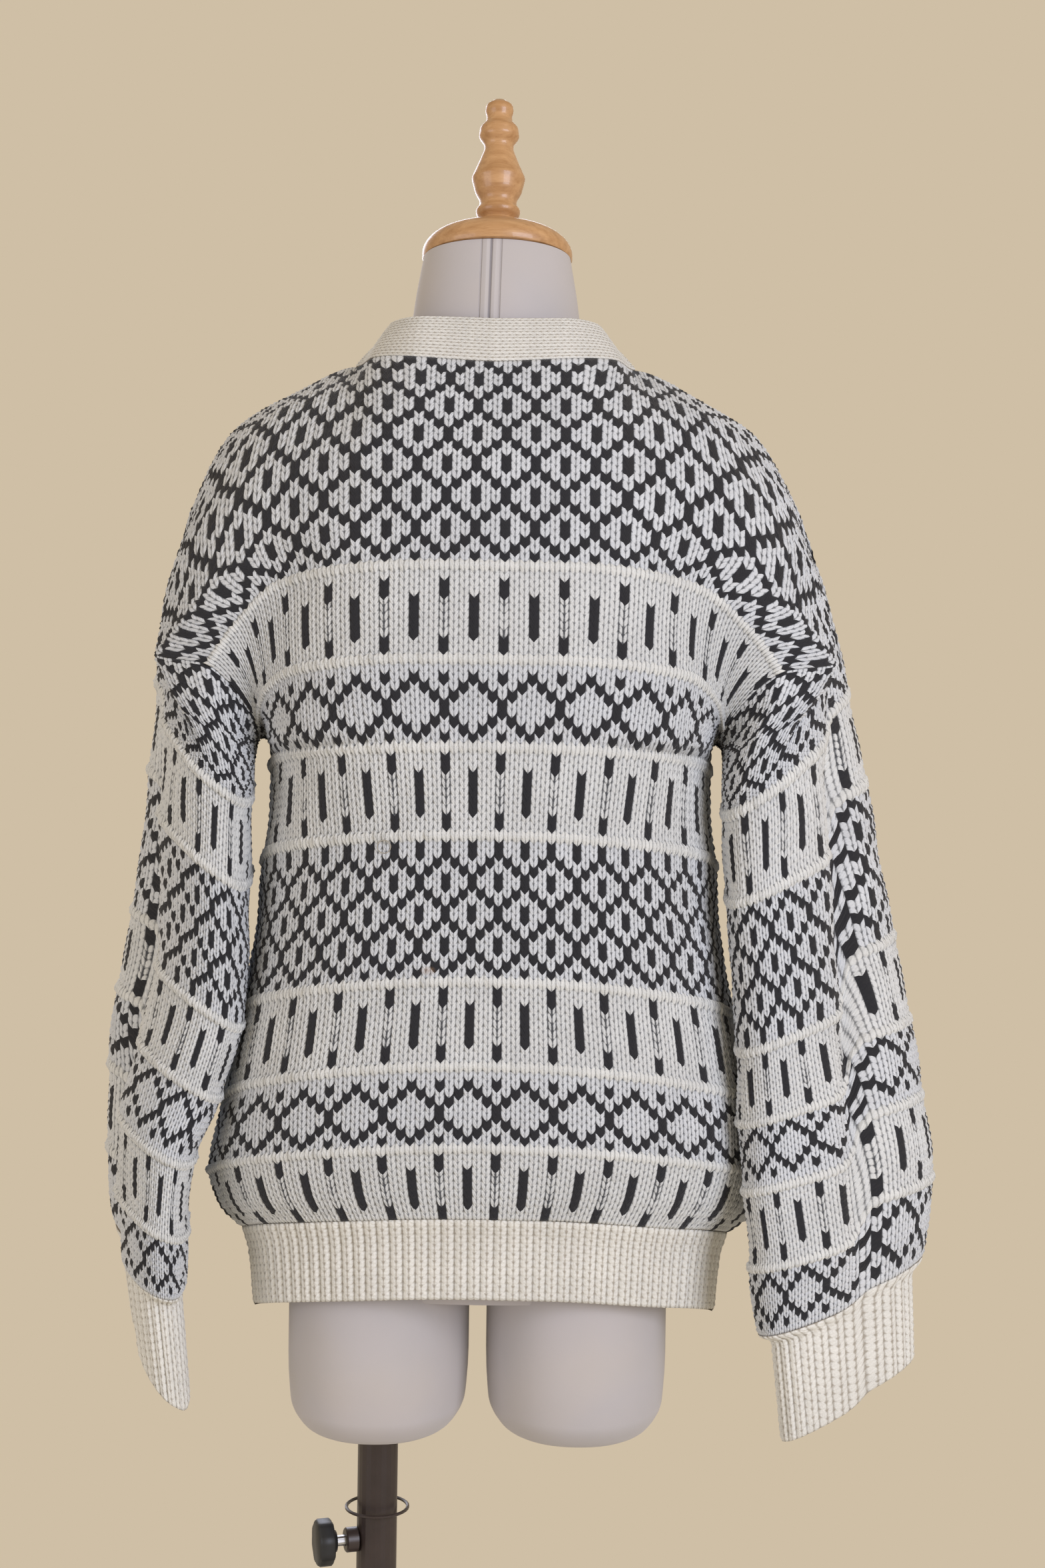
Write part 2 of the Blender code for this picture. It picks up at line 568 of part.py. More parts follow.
def make_cuff(name, hand, end, out, skin):
    """The ribbed cuff below a sleeve, from the sleeve's last ring."""
    v = dict(zip(CUFF_COLUMNS, CUFFS["left" if hand > 0 else "right"]))
    n = 2 * CUFF_RIBS
    shares = np.arange(n) / n
    loop = np.vstack([end, end[:1]])
    top = along_line(loop, shares)
    outward = unit(along_line(np.vstack([out, out[:1]]), shares) * (1, 1, 0))
    centre = top.mean(axis=0)
    rows = []
    for part in (0.0, 0.15, 1.0):
        size = 1 + (v["size"] - 1) * (0.75 * smooth(part / 0.12) + 0.25 * part)
        line = centre + (top - centre) * size
        line += np.array((hand * v["dx"], v["dy"], -v["fall"])) * part
        line[:, 2] -= GAP + v["inner_drop"] * part * np.cos(2 * math.pi * (shares - 0.5))
        rows.append(line)
    base = np.array(rows)
    crest = np.where(np.arange(n) % 2 == 1, 0.0, -RIB_DEPTH * 0.8)
    outer = base + outward[None] * crest[None, :, None]
    cols = list(range(0, n, 4))
    inner = (base - outward[None] * (WALL + RIB_DEPTH * 0.8))[:, cols]
    wall(name, outer, inner, [0, 1, 2], cols, True, skin)


# The neckband's width as a shift from the neckline's edge, for places along it: the V-neck
# rows of a front, then shares of the back neck from the shoulder (NECK_SHARE) to centre back.
NECKBAND_COLUMNS = ("place", "dx", "dy", "dz")
NECKBAND_FRONT = (
    (63, -0.0150, -0.001, 0.004), (67, -0.0195, -0.001, 0.007), (72, -0.026, -0.001, 0.009),
    (78, -0.028, -0.001, 0.010), (92, -0.028, -0.003, 0.012), (99, -0.026, -0.004, 0.015),
    (106, -0.022, -0.001, 0.021),
)
NECKBAND_BACK = ((0.0, 0.0, -0.015, 0.034), (0.2, -0.003, -0.014, 0.033), (0.31, -0.013, -0.009, 0.028), (0.41, -0.022, -0.001, 0.021))


def neckband(skin):
    places = []
    for hand in (1, -1):
        rows = [V_ROW] + [r for r in BODY_ROWS if r > V_ROW]
        edge = panel_points(-1, rows, [0.0], hand)[:, 0]
        shift = read(NECKBAND_COLUMNS, NECKBAND_FRONT, rows)
        shares = BACK_HALF[BACK_HALF <= NECK_SHARE + 1e-9][::-1]
        neck = panel_points(1, [TOP_ROW], shares, hand)[0]
        back_shift = read(NECKBAND_COLUMNS, NECKBAND_BACK, shares)
        move = [np.concatenate([shift[k], back_shift[k][1:]]) for k in ("dx", "dy", "dz")]
        low = np.vstack([edge, neck[1:]])
        high = low + np.column_stack([move[0] * hand, move[1], move[2]])
        high[:, 0] = np.where(np.arange(len(high)) < len(edge), np.sign(hand) * np.maximum(np.abs(high[:, 0]), 0.4 * MM), high[:, 0])
        places.append((low, high))
    (low_l, high_l), (low_r, high_r) = places
    low = np.vstack([low_l, low_r[::-1][1:]])
    high = np.vstack([high_l, high_r[::-1][1:]])
    grid = np.array([low, low * 0.5 + high * 0.5, high])
    normal = normals(grid, False, 1)
    if normal[1, len(low) // 2, 1] < 0:
        normal = -normal
    grid[1] += normal[1] * 1.5 * MM
    base = grid.copy()
    base[0] += unit(grid[1] - grid[0]) * GAP / 2
    # The panel's edge is drawn in by the other half of the gap, and the V-neck's by a whole one here.
    base[0, : len(low_l)] += unit(high_l - low_l) * GAP
    base[0, -len(low_r):] += (unit(high_r - low_r) * GAP)[::-1]
    cols = list(range(0, len(low), 2))
    if cols[-1] != len(low) - 1:
        cols.append(len(low) - 1)
    inner = (base - normal * WALL)[:, cols]
    wall("neckband", base, inner, [0, 1, 2], cols, False, skin)


def front_bands(skin):
    """The two bands down the front, the right one over the left, from hem to V-neck."""
    rows = [0, 5.5, 9.0, 14, 19.0, 24, 29.0, 34, 42, 47.0, 52, 57.0, V_ROW]
    seam = panel_points(-1, rows, [0.0], 1)[:, 0]
    seam[:, 0] = BAND / 2
    hem = seam[0].copy()
    hem[2] -= HEM_RIB
    hem[1] += 10.5 * MM
    tuck = seam[0].copy()
    tuck[2] -= HEM_RIB / 2
    tuck[1] += 8 * MM
    line = np.vstack([hem, tuck, seam])
    line[-1, 2] -= 1.2 * MM
    for hand, step in ((1, 1.5 * MM), (-1, -1.5 * MM)):
        across = np.array((0.0, 0.12, 0.5, 1.0))
        grid = np.repeat(line[:, None], len(across), 1)
        grid[..., 0] = hand * (BAND / 2 - GAP - across * (BAND - 4.5 * MM))
        grid[..., 1] += step * smooth(across / 0.12)
        normal = np.zeros_like(grid)
        normal[..., 1] = -1
        rows_at = list(range(len(line)))
        cols = [0, 1, 2, 3]
        inner = grid - normal * WALL
        wall("band_left" if hand > 0 else "band_right", grid, inner, rows_at, cols, False, skin)
    return line


def button(name, at, skin):
    """A flat round button with a raised rim, turned about its own axis."""
    profile = ((0.0, 0.62), (0.6, 0.62), (0.8, 1.0), (1.0, 0.7), (0.9, 0.0), (0.0, 0.0))
    bm = bmesh.new()
    line = [bm.verts.new((r * BUTTON_R, 0, h * BUTTON_T)) for r, h in profile]
    for a, b in zip(line, line[1:]):
        bm.edges.new((a, b))
    bmesh.ops.spin(bm, geom=bm.edges[:] + bm.verts[:], angle=2 * math.pi, steps=14, axis=(0, 0, 1),
                   cent=(0, 0, 0), use_merge=True)
    bmesh.ops.remove_doubles(bm, verts=bm.verts, dist=0.01 * MM)
    bmesh.ops.recalc_face_normals(bm, faces=bm.faces)
    made = add(name, bm, skin)
    made.rotation_euler = (math.pi / 2, 0, 0)
    made.location = at
    return made


def loft(name, rings, skin):
    """A closed solid through rings of points, with flat ends."""
    bm = bmesh.new()
    lines = [[bm.verts.new(p) for p in ring] for ring in rings]
    n = len(lines[0])
    for a, b in zip(lines, lines[1:]):
        for i in range(n):
            j = (i + 1) % n
            bm.faces.new((a[i], a[j], b[j], b[i]))
    bm.faces.new(lines[0])
    bm.faces.new(lines[-1])
    bmesh.ops.recalc_face_normals(bm, faces=bm.faces)
    return add(name, bm, skin, 50)


def boolean(target, other, operation):
    cut = target.modifiers.new(operation.lower(), "BOOLEAN")
    cut.operation = operation
    cut.object = other
    cut.solver = "EXACT"
    other.hide_render = True
    other.display_type = "WIRE"


def make_form(skin):
    turn = np.arange(28) / 28 * 2 * math.pi
    rings = []
    for z, half, back, front, power, tilt in FORM:
        x, y = section(turn, half, back, front, power)
        rings.append(np.column_stack([x + FORM_X, y, z + y * math.tan(math.radians(tilt))]))
    form = loft("form", rings, skin)
    turn = np.arange(20) / 20 * 2 * math.pi
    for side, middle in STUMP_X.items():
        rings = []
        for z, half, back, front in STUMP:
            x, y = section(turn, half, back, front, 2.2)
            rings.append(np.column_stack([x + middle + FORM_X, y, np.full(len(x), z)]))
        stump = loft("stump_" + side, rings, skin)
        boolean(form, stump, "UNION")
    bpy.ops.mesh.primitive_cylinder_add(vertices=24, radius=POLE_R + GAP, depth=0.30)
    bore = bpy.context.object
    bore.name = "pole_bore"
    bore.location = (0, 0, TUBE_TOP + GAP - 0.15)
    boolean(form, bore, "DIFFERENCE")
    return form


def turned(name, profile, skin, steps=32):
    """A solid turned about Z from (radius, height) points that start and end on the axis."""
    bm = bmesh.new()
    line = [bm.verts.new((r, 0, h)) for r, h in profile]
    for a, b in zip(line, line[1:]):
        bm.edges.new((a, b))
    bmesh.ops.spin(bm, geom=bm.edges[:] + bm.verts[:], angle=2 * math.pi, steps=steps, axis=(0, 0, 1),
                   cent=(0, 0, 0), use_merge=True)
    bmesh.ops.remove_doubles(bm, verts=bm.verts, dist=0.01 * MM)
    bmesh.ops.recalc_face_normals(bm, faces=bm.faces)
    return add(name, bm, skin)


def make_cap_and_finial(skin):
    dome = [(0.0, 0.0), (CAP_R - 2 * MM, 0.0), (CAP_R, 2 * MM), (CAP_R, 5 * MM)]
    crown = 18 * MM
    for i in range(1, 7):
        a = i / 7 * math.pi / 2
        dome.append((crown + (CAP_R - crown) * math.cos(a) ** 0.9, 5 * MM + (CAP_H - 5 * MM) * math.sin(a)))
    dome += [(crown, CAP_H), (0.0, CAP_H)]
    cap = turned("neck_cap", dome, skin, 28)
    post = [(0.0, 0.0)] + [(r * MM, h * MM) for r, h in FINIAL] + [(0.0, FINIAL[-1][1] * MM + 0.6 * MM)]
    finial = turned("finial", post, skin, 16)
    lean = math.tan(NECK_TILT)
    for made, lift in ((cap, GAP), (finial, CAP_H + 2 * GAP)):
        made.rotation_euler = (NECK_TILT, 0, 0)
        made.location = (FORM_X, NECK_TOP[1] - lift * lean, NECK_TOP[2] + lift)


def lie_flat(made, radius_axis_yaw):
    made.rotation_euler = (0, math.pi / 2, radius_axis_yaw)


def make_stand(metal, black, screw):
    turned("base_plate", [(0, 0), (BASE_R - 1.5 * MM, 0), (BASE_R, 1.5 * MM), (BASE_R, BASE_T - 2 * MM),
                          (BASE_R - 2 * MM, BASE_T), (0, BASE_T)], metal, 48)
    hub_low = BASE_T + GAP
    hub = [(INNER_POLE_R + GAP, hub_low), (34 * MM, hub_low), (34 * MM, hub_low + 4 * MM),
           (22 * MM, hub_low + 9 * MM), (20 * MM, hub_low + 40 * MM), (18 * MM, hub_low + 42 * MM),
           (INNER_POLE_R + GAP, hub_low + 42 * MM), (INNER_POLE_R + GAP, hub_low)]
    turned("base_hub", hub, metal, 24)
    turned("inner_pole", [(0, BASE_T + GAP), (INNER_POLE_R, BASE_T + GAP), (INNER_POLE_R, INNER_TOP), (0, INNER_TOP)],
           metal, 24)
    tube = turned("post_tube", [(POLE_BORE_R, TUBE_BOTTOM), (POLE_R, TUBE_BOTTOM), (POLE_R, TUBE_TOP),
                                (0, TUBE_TOP), (0, TUBE_TOP - 3 * MM), (POLE_BORE_R, TUBE_TOP - 3 * MM),
                                (POLE_BORE_R, TUBE_BOTTOM)], metal, 24)
    direction = np.array((math.cos(KNOB_YAW), math.sin(KNOB_YAW), 0))
    bpy.ops.mesh.primitive_cylinder_add(vertices=16, radius=4.4 * MM, depth=20 * MM)
    hole = bpy.context.object
    hole.name = "screw_hole"
    hole.location = (*(direction[:2] * POLE_R), KNOB_Z)
    lie_flat(hole, KNOB_YAW)
    boolean(tube, hole, "DIFFERENCE")
    make_ring(metal)
    boss_start = POLE_R + GAP
    boss = turned("screw_boss", [(4.4 * MM, boss_start), (9 * MM, boss_start), (9 * MM, boss_start + 8 * MM),
                                 (8 * MM, boss_start + 9 * MM), (4.4 * MM, boss_start + 9 * MM),
                                 (4.4 * MM, boss_start)], metal, 24)
    lie_flat(boss, KNOB_YAW)
    boss.location = (0, 0, KNOB_Z)
    shaft = turned("clamp_screw", [(0, INNER_POLE_R + GAP), (4 * MM, INNER_POLE_R + GAP), (4 * MM, 31 * MM),
                                   (0, 31 * MM)], screw, 16)
    lie_flat(shaft, KNOB_YAW)
    shaft.location = (0, 0, KNOB_Z)
    knob(31 * MM + GAP, black)


def make_ring(skin):
    """A thin wire ring round the pole with a short tab to it, as one solid."""
    bm = bmesh.new()
    bmesh.ops.create_circle(bm, segments=6, radius=RING_WIRE_R)
    bmesh.ops.rotate(bm, verts=bm.verts, cent=(0, 0, 0), matrix=rotation_x(math.pi / 2))
    bmesh.ops.translate(bm, verts=bm.verts, vec=(RING_R, 0, RING_Z))
    bmesh.ops.spin(bm, geom=bm.edges[:] + bm.verts[:], angle=2 * math.pi, steps=32, axis=(0, 0, 1),
                   cent=(0, 0, 0), use_merge=True)
    bmesh.ops.remove_doubles(bm, verts=bm.verts, dist=0.01 * MM)
    bmesh.ops.recalc_face_normals(bm, faces=bm.faces)
    ring = add("wire_ring", bm, skin)
    bpy.ops.mesh.primitive_cube_add(size=1)
    tab = bpy.context.object
    tab.name = "ring_tab"
    reach = RING_R - POLE_R - GAP
    tab.scale = (2.4 * MM, reach, 1.6 * MM)
    tab.location = (0, -(POLE_R + GAP + reach / 2), RING_Z)
    boolean(ring, tab, "UNION")


def rotation_x(angle):
    c, s = math.cos(angle), math.sin(angle)
    from mathutils import Matrix
    return Matrix(((1, 0, 0), (0, c, -s), (0, s, c)))


def knob(start, skin):
    """A hand knob with eight lobes on the screw's axis."""
    turn = np.arange(32) / 32 * 2 * math.pi
    rings = []
    for height, size in ((0, 0.45), (3, 0.55), (3.2, 0.93), (4.5, 1.0), (13, 1.0), (15, 0.92)):
        radius = KNOB_R * size * (1 - 0.035 * (1 + np.cos(8 * turn)) * (size > 0.9))
        rings.append(np.column_stack([radius * np.cos(turn), radius * np.sin(turn), np.full(32, start + height * MM)]))
    made = loft("clamp_knob", rings, skin)
    lie_flat(made, KNOB_YAW)
    made.location = (0, 0, KNOB_Z)


def main():
    for old in list(bpy.data.objects):
        bpy.data.objects.remove(old)
    bpy.context.scene.collection.children.link(collection)
    knit = material("fair_isle_knit", (0.66, 0.65, 0.62), 0.95)
    ivory = material("ivory_rib", (0.74, 0.68, 0.56), 0.95)
    jersey = material("grey_form_cover", (0.46, 0.43, 0.42), 0.9)
    wood = material("turned_wood", (0.61, 0.35, 0.13), 0.4)
    metal = material("dark_painted_steel", (0.035, 0.024, 0.021), 0.4, 0.2)
    black = material("black_knob", (0.012, 0.013, 0.013), 0.5)
    screw = material("plain_steel", (0.5, 0.5, 0.5), 0.35, 1.0)
    horn = material("ivory_button", (0.72, 0.66, 0.53), 0.35)
    before = set(bpy.data.objects)
    panels = body_panels()
    for name, (grid, normal) in panels.items():
        make_panel(name, grid, normal, knit)
    hem_rib("hem_rib_back", *panels["back"], HEM_RIBS_BACK, ivory)
    for hand, side in ((1, "left"), (-1, "right")):
        hem_rib("hem_rib_" + side, *panels["front_" + side], HEM_RIBS_FRONT, ivory)
        end, out = make_sleeve("sleeve_" + side, hand, panels, knit)
        make_cuff("cuff_" + side, hand, end, out, ivory)
    neckband(ivory)
    line = front_bands(ivory)
    heights = np.linspace(line[-1, 2] - 0.02, line[0, 2] + 0.03, BUTTONS)
    # A button touches the band where the band bulges furthest behind it.
    face = [np.interp(np.linspace(z - BUTTON_R, z + BUTTON_R, 9), line[:, 2], line[:, 1]).min() for z in heights]
    for i, (z, y) in enumerate(zip(heights, face)):
        button(f"button_{i + 1}", (0, y - 1.5 * MM - GAP, z), horn)
    shift = [o for o in bpy.data.objects if o not in before]
    for made in shift:
        made.location.x += FORM_X
    make_form(jersey)
    make_cap_and_finial(wood)
    make_stand(metal, black, screw)


main()
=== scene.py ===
"""Looks of the Fair-Isle cardigan on its dress form: stitches, ribs, cover, wood and stand.

Metres, +Z up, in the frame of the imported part. The cardigan's front faces -Y, the wearer's
left is +X, and the camera looks at the back. Rows and stitches are counted as knitters do:
upwards from the hem rib on the body, down from the armhole on a sleeve.
"""

import math

import bmesh
import bpy
import numpy as np
from mathutils import Matrix, Vector


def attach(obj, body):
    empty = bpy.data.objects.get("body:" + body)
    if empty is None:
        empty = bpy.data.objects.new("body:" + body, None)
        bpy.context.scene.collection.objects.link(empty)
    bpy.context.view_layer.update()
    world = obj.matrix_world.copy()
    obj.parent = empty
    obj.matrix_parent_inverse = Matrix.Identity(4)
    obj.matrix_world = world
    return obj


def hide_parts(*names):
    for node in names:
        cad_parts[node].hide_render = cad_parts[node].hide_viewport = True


MM = 0.001
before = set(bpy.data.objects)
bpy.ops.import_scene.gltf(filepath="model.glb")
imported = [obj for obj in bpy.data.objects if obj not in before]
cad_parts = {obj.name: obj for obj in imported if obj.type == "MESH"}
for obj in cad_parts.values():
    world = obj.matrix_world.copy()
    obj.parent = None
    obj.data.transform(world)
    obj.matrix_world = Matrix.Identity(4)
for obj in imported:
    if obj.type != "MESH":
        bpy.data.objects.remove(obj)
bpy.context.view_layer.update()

FORM_X = -77 * MM
WALL = 2.5 * MM
BODY_RIDGES = (9, 19, 29, 47, 57, 67, 78)
UNDERARM_ROW, V_ROW, TOP_ROW = 59, 63, 106
SLEEVE_RIDGES = (10, 20, 38, 48, 58, 68)
CUFF_ROW = 78
NECK_SHARE = 0.41
HEM_RIB, HEM_STEPS = 58 * MM, 30
# How far the hem rib draws in, at shares of the way down it.
HEM_TUCK = ((0, 0.3, 1.0), (0.0, 0.006, 0.0105))
HEM_RIBS_BACK, HEM_RIBS_FRONT = 48, 24
CUFF_RIBS = 26
BAND = 30 * MM
BACK_STITCHES, FRONT_STITCHES, SLEEVE_STITCHES = 76, 42, 68
POLE_R, INNER_POLE_R = 15 * MM, 12.7 * MM
TUBE_TOP, INNER_TOP = 740 * MM, 700 * MM
BASE_R, BASE_T = 190 * MM, 8 * MM
GAP = 0.3 * MM

NECK_WALES = 7
ZIP_X = 4.0 * MM
STAIN = (FORM_X + 0.0382, 0.1355, 0.9315)
THREAD_LOOP = (FORM_X + 0.0697, 0.1315, 1.0158)

# Roundness of the body's, the sleeves' and the stumps' sections, and a sleeve's inner depth.
BODY_POWER, SLEEVE_POWER, STUMP_POWER = 2.4, 2.3, 2.2
INNER_SIDE = 0.75
SEAM_STRETCH = 3.0 * MM
FREE_ROW = 9.0
ROW, BAND_ROW = 5.8 * MM, 4.9 * MM

# A stitch is four grid columns wide, a rib six and a knitted row three grid rows high. Heights
# are shares of the relief, and a slant is a share of a row.
STITCH, RIB, STEPS = 4, 6, 3
RELIEF, SINK = 1.7 * MM, 0.2 * MM
HEM_RELIEF, CUFF_RELIEF, COLLAR_RELIEF, BAND_RELIEF = 1.5 * MM, 1.3 * MM, 1.0 * MM, 0.8 * MM
SLANT, BAND_SLANT = 0.62, 3.0
LEG_HEIGHTS = (0.0, 1.0, 0.42, 1.0)
ALONG_HEIGHTS, RIB_ALONG, BAND_ALONG = (0.45, 1.0, 0.9), (0.6, 1.0, 0.9), (0.5, 1.0, 0.9)
WOBBLE, RIDGE_WOBBLE = 0.10, 0.12
# A purl ridge takes this much of a row on each side of its own row, and its grid rows slant
# much at its foot and little on its crest.
RIDGE_HALF = 0.65
FOOT_SLANT, CREST_SLANT = 0.8, 0.25
RIDGE_PLACES = (-0.72, -0.38, 0.05, 0.45)
RIDGE_HEIGHTS = (0.6, 1.75, 2.05, 1.7)
RIDGE_ROUGHNESS = 0.34
# How dark the marled columns of a bar are, shown as dark yarn and as more shade painted round their legs,
# and how uneven the yarn's shade.
PEEK_AND_SHADE = (0.08, 0.44)
MARLED_SHADED_ROWS = (3, 7)
SHADE, RIB_SHADE = 0.5, 0.35
# Dark, shade and warmth of the inside and rim faces: darker, and with their flat UV they take the shade
# painted between the legs in full, so the inside and the cut edges are painted dark.
INSIDE_TONE = (0.25, -0.6, 0.3)
RIDGE_WARMTH, BAR_WARMTH, CHART_WARMTH = 1.0, 0.75, 0.15
EASED_ROWS = (46, 70)
EASED_INNER = 0.3
RIB_HEIGHTS = (-0.9, 0.45, 1.0, 0.72, 1.0, 0.45)

# Charts of the traditional motifs over a repeat of six stitches: the black ones of each row.
REPEAT = 6
BARS = ((), (3,), (3,), (0,), (0,), (0,), (0,), (0,), (3,), (3,))
LOZENGE = ((), (0, 3), (1, 5), (2, 4), (3,), (3,), (2, 4), (1, 5), (0, 3), ())
LATTICE = ((0, 3), (0, 3), (2, 4), (1, 5), (0, 3), (0, 3), (1, 5), (2, 4))
BODY_BANDS = ((0, BARS), (9, LOZENGE), (19, BARS), (29, LATTICE), (47, BARS), (57, LOZENGE),
              (67, BARS), (78, LATTICE))
SLEEVE_BANDS = ((0, LATTICE), (10, BARS), (20, LATTICE), (38, BARS), (48, LOZENGE), (58, BARS),
                  (68, LOZENGE))
SLEEVE_CAP_ROWS = 21
# Rows at which the plain inside of a panel and of a sleeve has its points.
BODY_INSIDE = (0, 9, 19, 29, 38, 47, 57, 59, 67, 72.5, 78, 82.5, 87, 91, 95, 99, 102.5, TOP_ROW)
SLEEVE_INSIDE = (0, 1.5, 5, 10, 15, 20, 26, 32, 38, 43, 48, 53, 58, 63, 68, 73, CUFF_ROW)
rng = np.random.default_rng(7)

# Body sections: centre-back height, drop of the row at the side seam, half width, back and
# front depth, and where the side seam lies fore and aft.
BODY_COLUMNS = ("row", "z_back", "drop", "z_front", "half", "back", "front", "seam_y")
BODY = (
    (0, 0.760, 0.028, 0.727, 0.180, 0.124, 0.116, 0.028),
    (4, 0.783, 0.033, 0.750, 0.197, 0.131, 0.124, 0.028),
    (9, 0.811, 0.038, 0.780, 0.203, 0.135, 0.129, 0.028),
    (19, 0.8675, 0.042, 0.838, 0.196, 0.136, 0.131, 0.027),
    (29, 0.925, 0.036, 0.897, 0.182, 0.135, 0.132, 0.025),
    (38, 0.975, 0.030, 0.949, 0.172, 0.136, 0.132, 0.022),
    (47, 1.025, 0.024, 1.002, 0.166, 0.137, 0.132, 0.019),
    (57, 1.085, 0.014, 1.061, 0.162, 0.138, 0.132, 0.016),
)
# The upper back, left half: for each row its points at set shares of the way from centre
# back to the armhole. The last row is the neckline, up to its corner, and the shoulder seam.
BACK_SHARES = (0.0, 0.20, 0.31, NECK_SHARE, 0.60, 0.80, 1.0)
UPPER_BACK = {
    59: ((0, 0.138, 1.097), (0.052, 0.136, 1.097), (0.080, 0.132, 1.096), (0.104, 0.124, 1.094),
         (0.140, 0.100, 1.090), (0.158, 0.065, 1.088), (0.163, 0.015, 1.088)),
    67: ((0, 0.137, 1.145), (0.052, 0.135, 1.145), (0.080, 0.131, 1.144), (0.105, 0.123, 1.142),
         (0.141, 0.101, 1.136), (0.160, 0.083, 1.120), (0.167, 0.060, 1.101)),
    78: ((0, 0.134, 1.209), (0.052, 0.132, 1.209), (0.081, 0.127, 1.208), (0.107, 0.118, 1.206),
         (0.147, 0.095, 1.198), (0.177, 0.086, 1.172), (0.199, 0.083, 1.141)),
    85: ((0, 0.127, 1.249), (0.052, 0.125, 1.249), (0.081, 0.118, 1.249), (0.110, 0.107, 1.247),
         (0.161, 0.084, 1.234), (0.209, 0.071, 1.191), (0.242, 0.054, 1.151)),
    92: ((0, 0.118, 1.288), (0.052, 0.115, 1.288), (0.082, 0.107, 1.290), (0.112, 0.091, 1.293),
         (0.163, 0.067, 1.284), (0.213, 0.042, 1.243), (0.240, 0.031, 1.188)),
    99: ((0, 0.104, 1.325), (0.052, 0.100, 1.326), (0.084, 0.085, 1.331), (0.110, 0.057, 1.338),
         (0.155, 0.036, 1.329), (0.204, 0.014, 1.296), (0.234, 0.005, 1.227)),
    106: ((0, 0.085, 1.359), (0.052, 0.077, 1.3625), (0.088, 0.046, 1.369), (0.105, 0.000, 1.372),
          (0.149, -0.004, 1.353), (0.196, -0.008, 1.3245), (0.2265, -0.012, 1.268)),
}
# The upper front, left half: from the V-neck's edge to the armhole.
FRONT_SHARES = (0.0, 0.33, 0.66, 1.0)
UPPER_FRONT = {
    59: ((0.0155, -0.132, 1.072), (0.072, -0.127, 1.076), (0.135, -0.090, 1.084)),
    67: ((0.021, -0.131, 1.113), (0.076, -0.125, 1.118), (0.140, -0.088, 1.114)),
    78: ((0.040, -0.126, 1.176), (0.088, -0.116, 1.181), (0.150, -0.092, 1.172)),
    85: ((0.053, -0.118, 1.217), (0.103, -0.104, 1.221), (0.172, -0.090, 1.200)),
    92: ((0.067, -0.104, 1.262), (0.118, -0.087, 1.266), (0.184, -0.074, 1.248)),
    99: ((0.085, -0.076, 1.313), (0.130, -0.060, 1.316), (0.190, -0.050, 1.297)),
}
FRONT_ARMHOLE = {
    59: (0.163, 0.015, 1.088), 67: (0.167, -0.042, 1.099), 78: (0.199, -0.077, 1.140),
    85: (0.240, -0.058, 1.154), 92: (0.240, -0.052, 1.191), 99: (0.234, -0.036, 1.229),
}
# How much further out the right shoulder and sleeve lie than the left, and the distance from
# the middle at which that starts and over which it grows.
REACH_FROM, REACH_OVER = 0.14, 0.06
RIGHT_REACH_COLUMNS = ("z", "more")
RIGHT_REACH = ((1.09, 0.004), (1.15, 0.007), (1.22, 0.006), (1.27, 0.003), (1.32, 0.0))

# Sleeve sections from the armhole to the cuff: centre, half width and half thickness of the
# flattened tube, its turn in plan from the X axis, its middle height, the height that a row
# gains outwards along the width and across the thickness, and the depth and the height jump
# of the long valley down its back. The valley's and the jump's widths are shares of the half
# width.
VALLEY_WIDTH, JUMP_WIDTH = 0.22, 0.12
SLEEVE_COLUMNS = ("row", "x", "y", "wide", "thick", "turn", "z", "rise", "roll", "valley", "jump")
SLEEVES = {
    "right": (
        (5, 0.2110, 0.012, 0.093, 0.039, 68, 1.119, 0.044, 0.024, 0.000, 0.000),
        (10, 0.2180, 0.012, 0.094, 0.040, 66, 1.086, 0.036, 0.022, 0.008, 0.012),
        (20, 0.2260, 0.016, 0.092, 0.040, 60, 1.022, 0.026, 0.012, 0.014, 0.034),
        (29, 0.2340, 0.024, 0.090, 0.038, 55, 0.966, 0.022, 0.010, 0.014, 0.036),
        (38, 0.2410, 0.034, 0.088, 0.036, 50, 0.912, 0.020, 0.008, 0.013, 0.036),
        (48, 0.2470, 0.046, 0.084, 0.034, 42, 0.857, 0.016, 0.006, 0.012, 0.034),
        (58, 0.2530, 0.056, 0.083, 0.031, 36, 0.806, 0.014, 0.005, 0.010, 0.030),
        (68, 0.2590, 0.060, 0.080, 0.029, 33, 0.750, 0.014, 0.004, 0.008, 0.024),
        (78, 0.2590, 0.060, 0.074, 0.026, 33, 0.697, 0.018, 0.003, 0.004, 0.006),
    ),
    "left": (
        (5, 0.2070, 0.010, 0.093, 0.037, 72, 1.119, 0.044, 0.024, 0.000, 0.000),
        (10, 0.2090, 0.010, 0.094, 0.037, 74, 1.090, 0.036, 0.026, 0.004, 0.008),
        (20, 0.2120, 0.012, 0.092, 0.037, 72, 1.026, 0.028, 0.024, 0.008, 0.014),
        (29, 0.2150, 0.014, 0.090, 0.036, 68, 0.972, 0.026, 0.022, 0.010, 0.016),
        (38, 0.2190, 0.018, 0.088, 0.035, 65, 0.922, 0.024, 0.020, 0.012, 0.018),
        (48, 0.2310, 0.024, 0.084, 0.034, 65, 0.868, 0.020, 0.018, 0.014, 0.018),
        (58, 0.2420, 0.028, 0.083, 0.031, 71, 0.818, 0.018, 0.014, 0.014, 0.016),
        (68, 0.2440, 0.030, 0.080, 0.029, 72, 0.762, 0.016, 0.012, 0.010, 0.012),
        (78, 0.2420, 0.032, 0.074, 0.026, 72, 0.716, 0.018, 0.006, 0.004, 0.004),
    ),
}
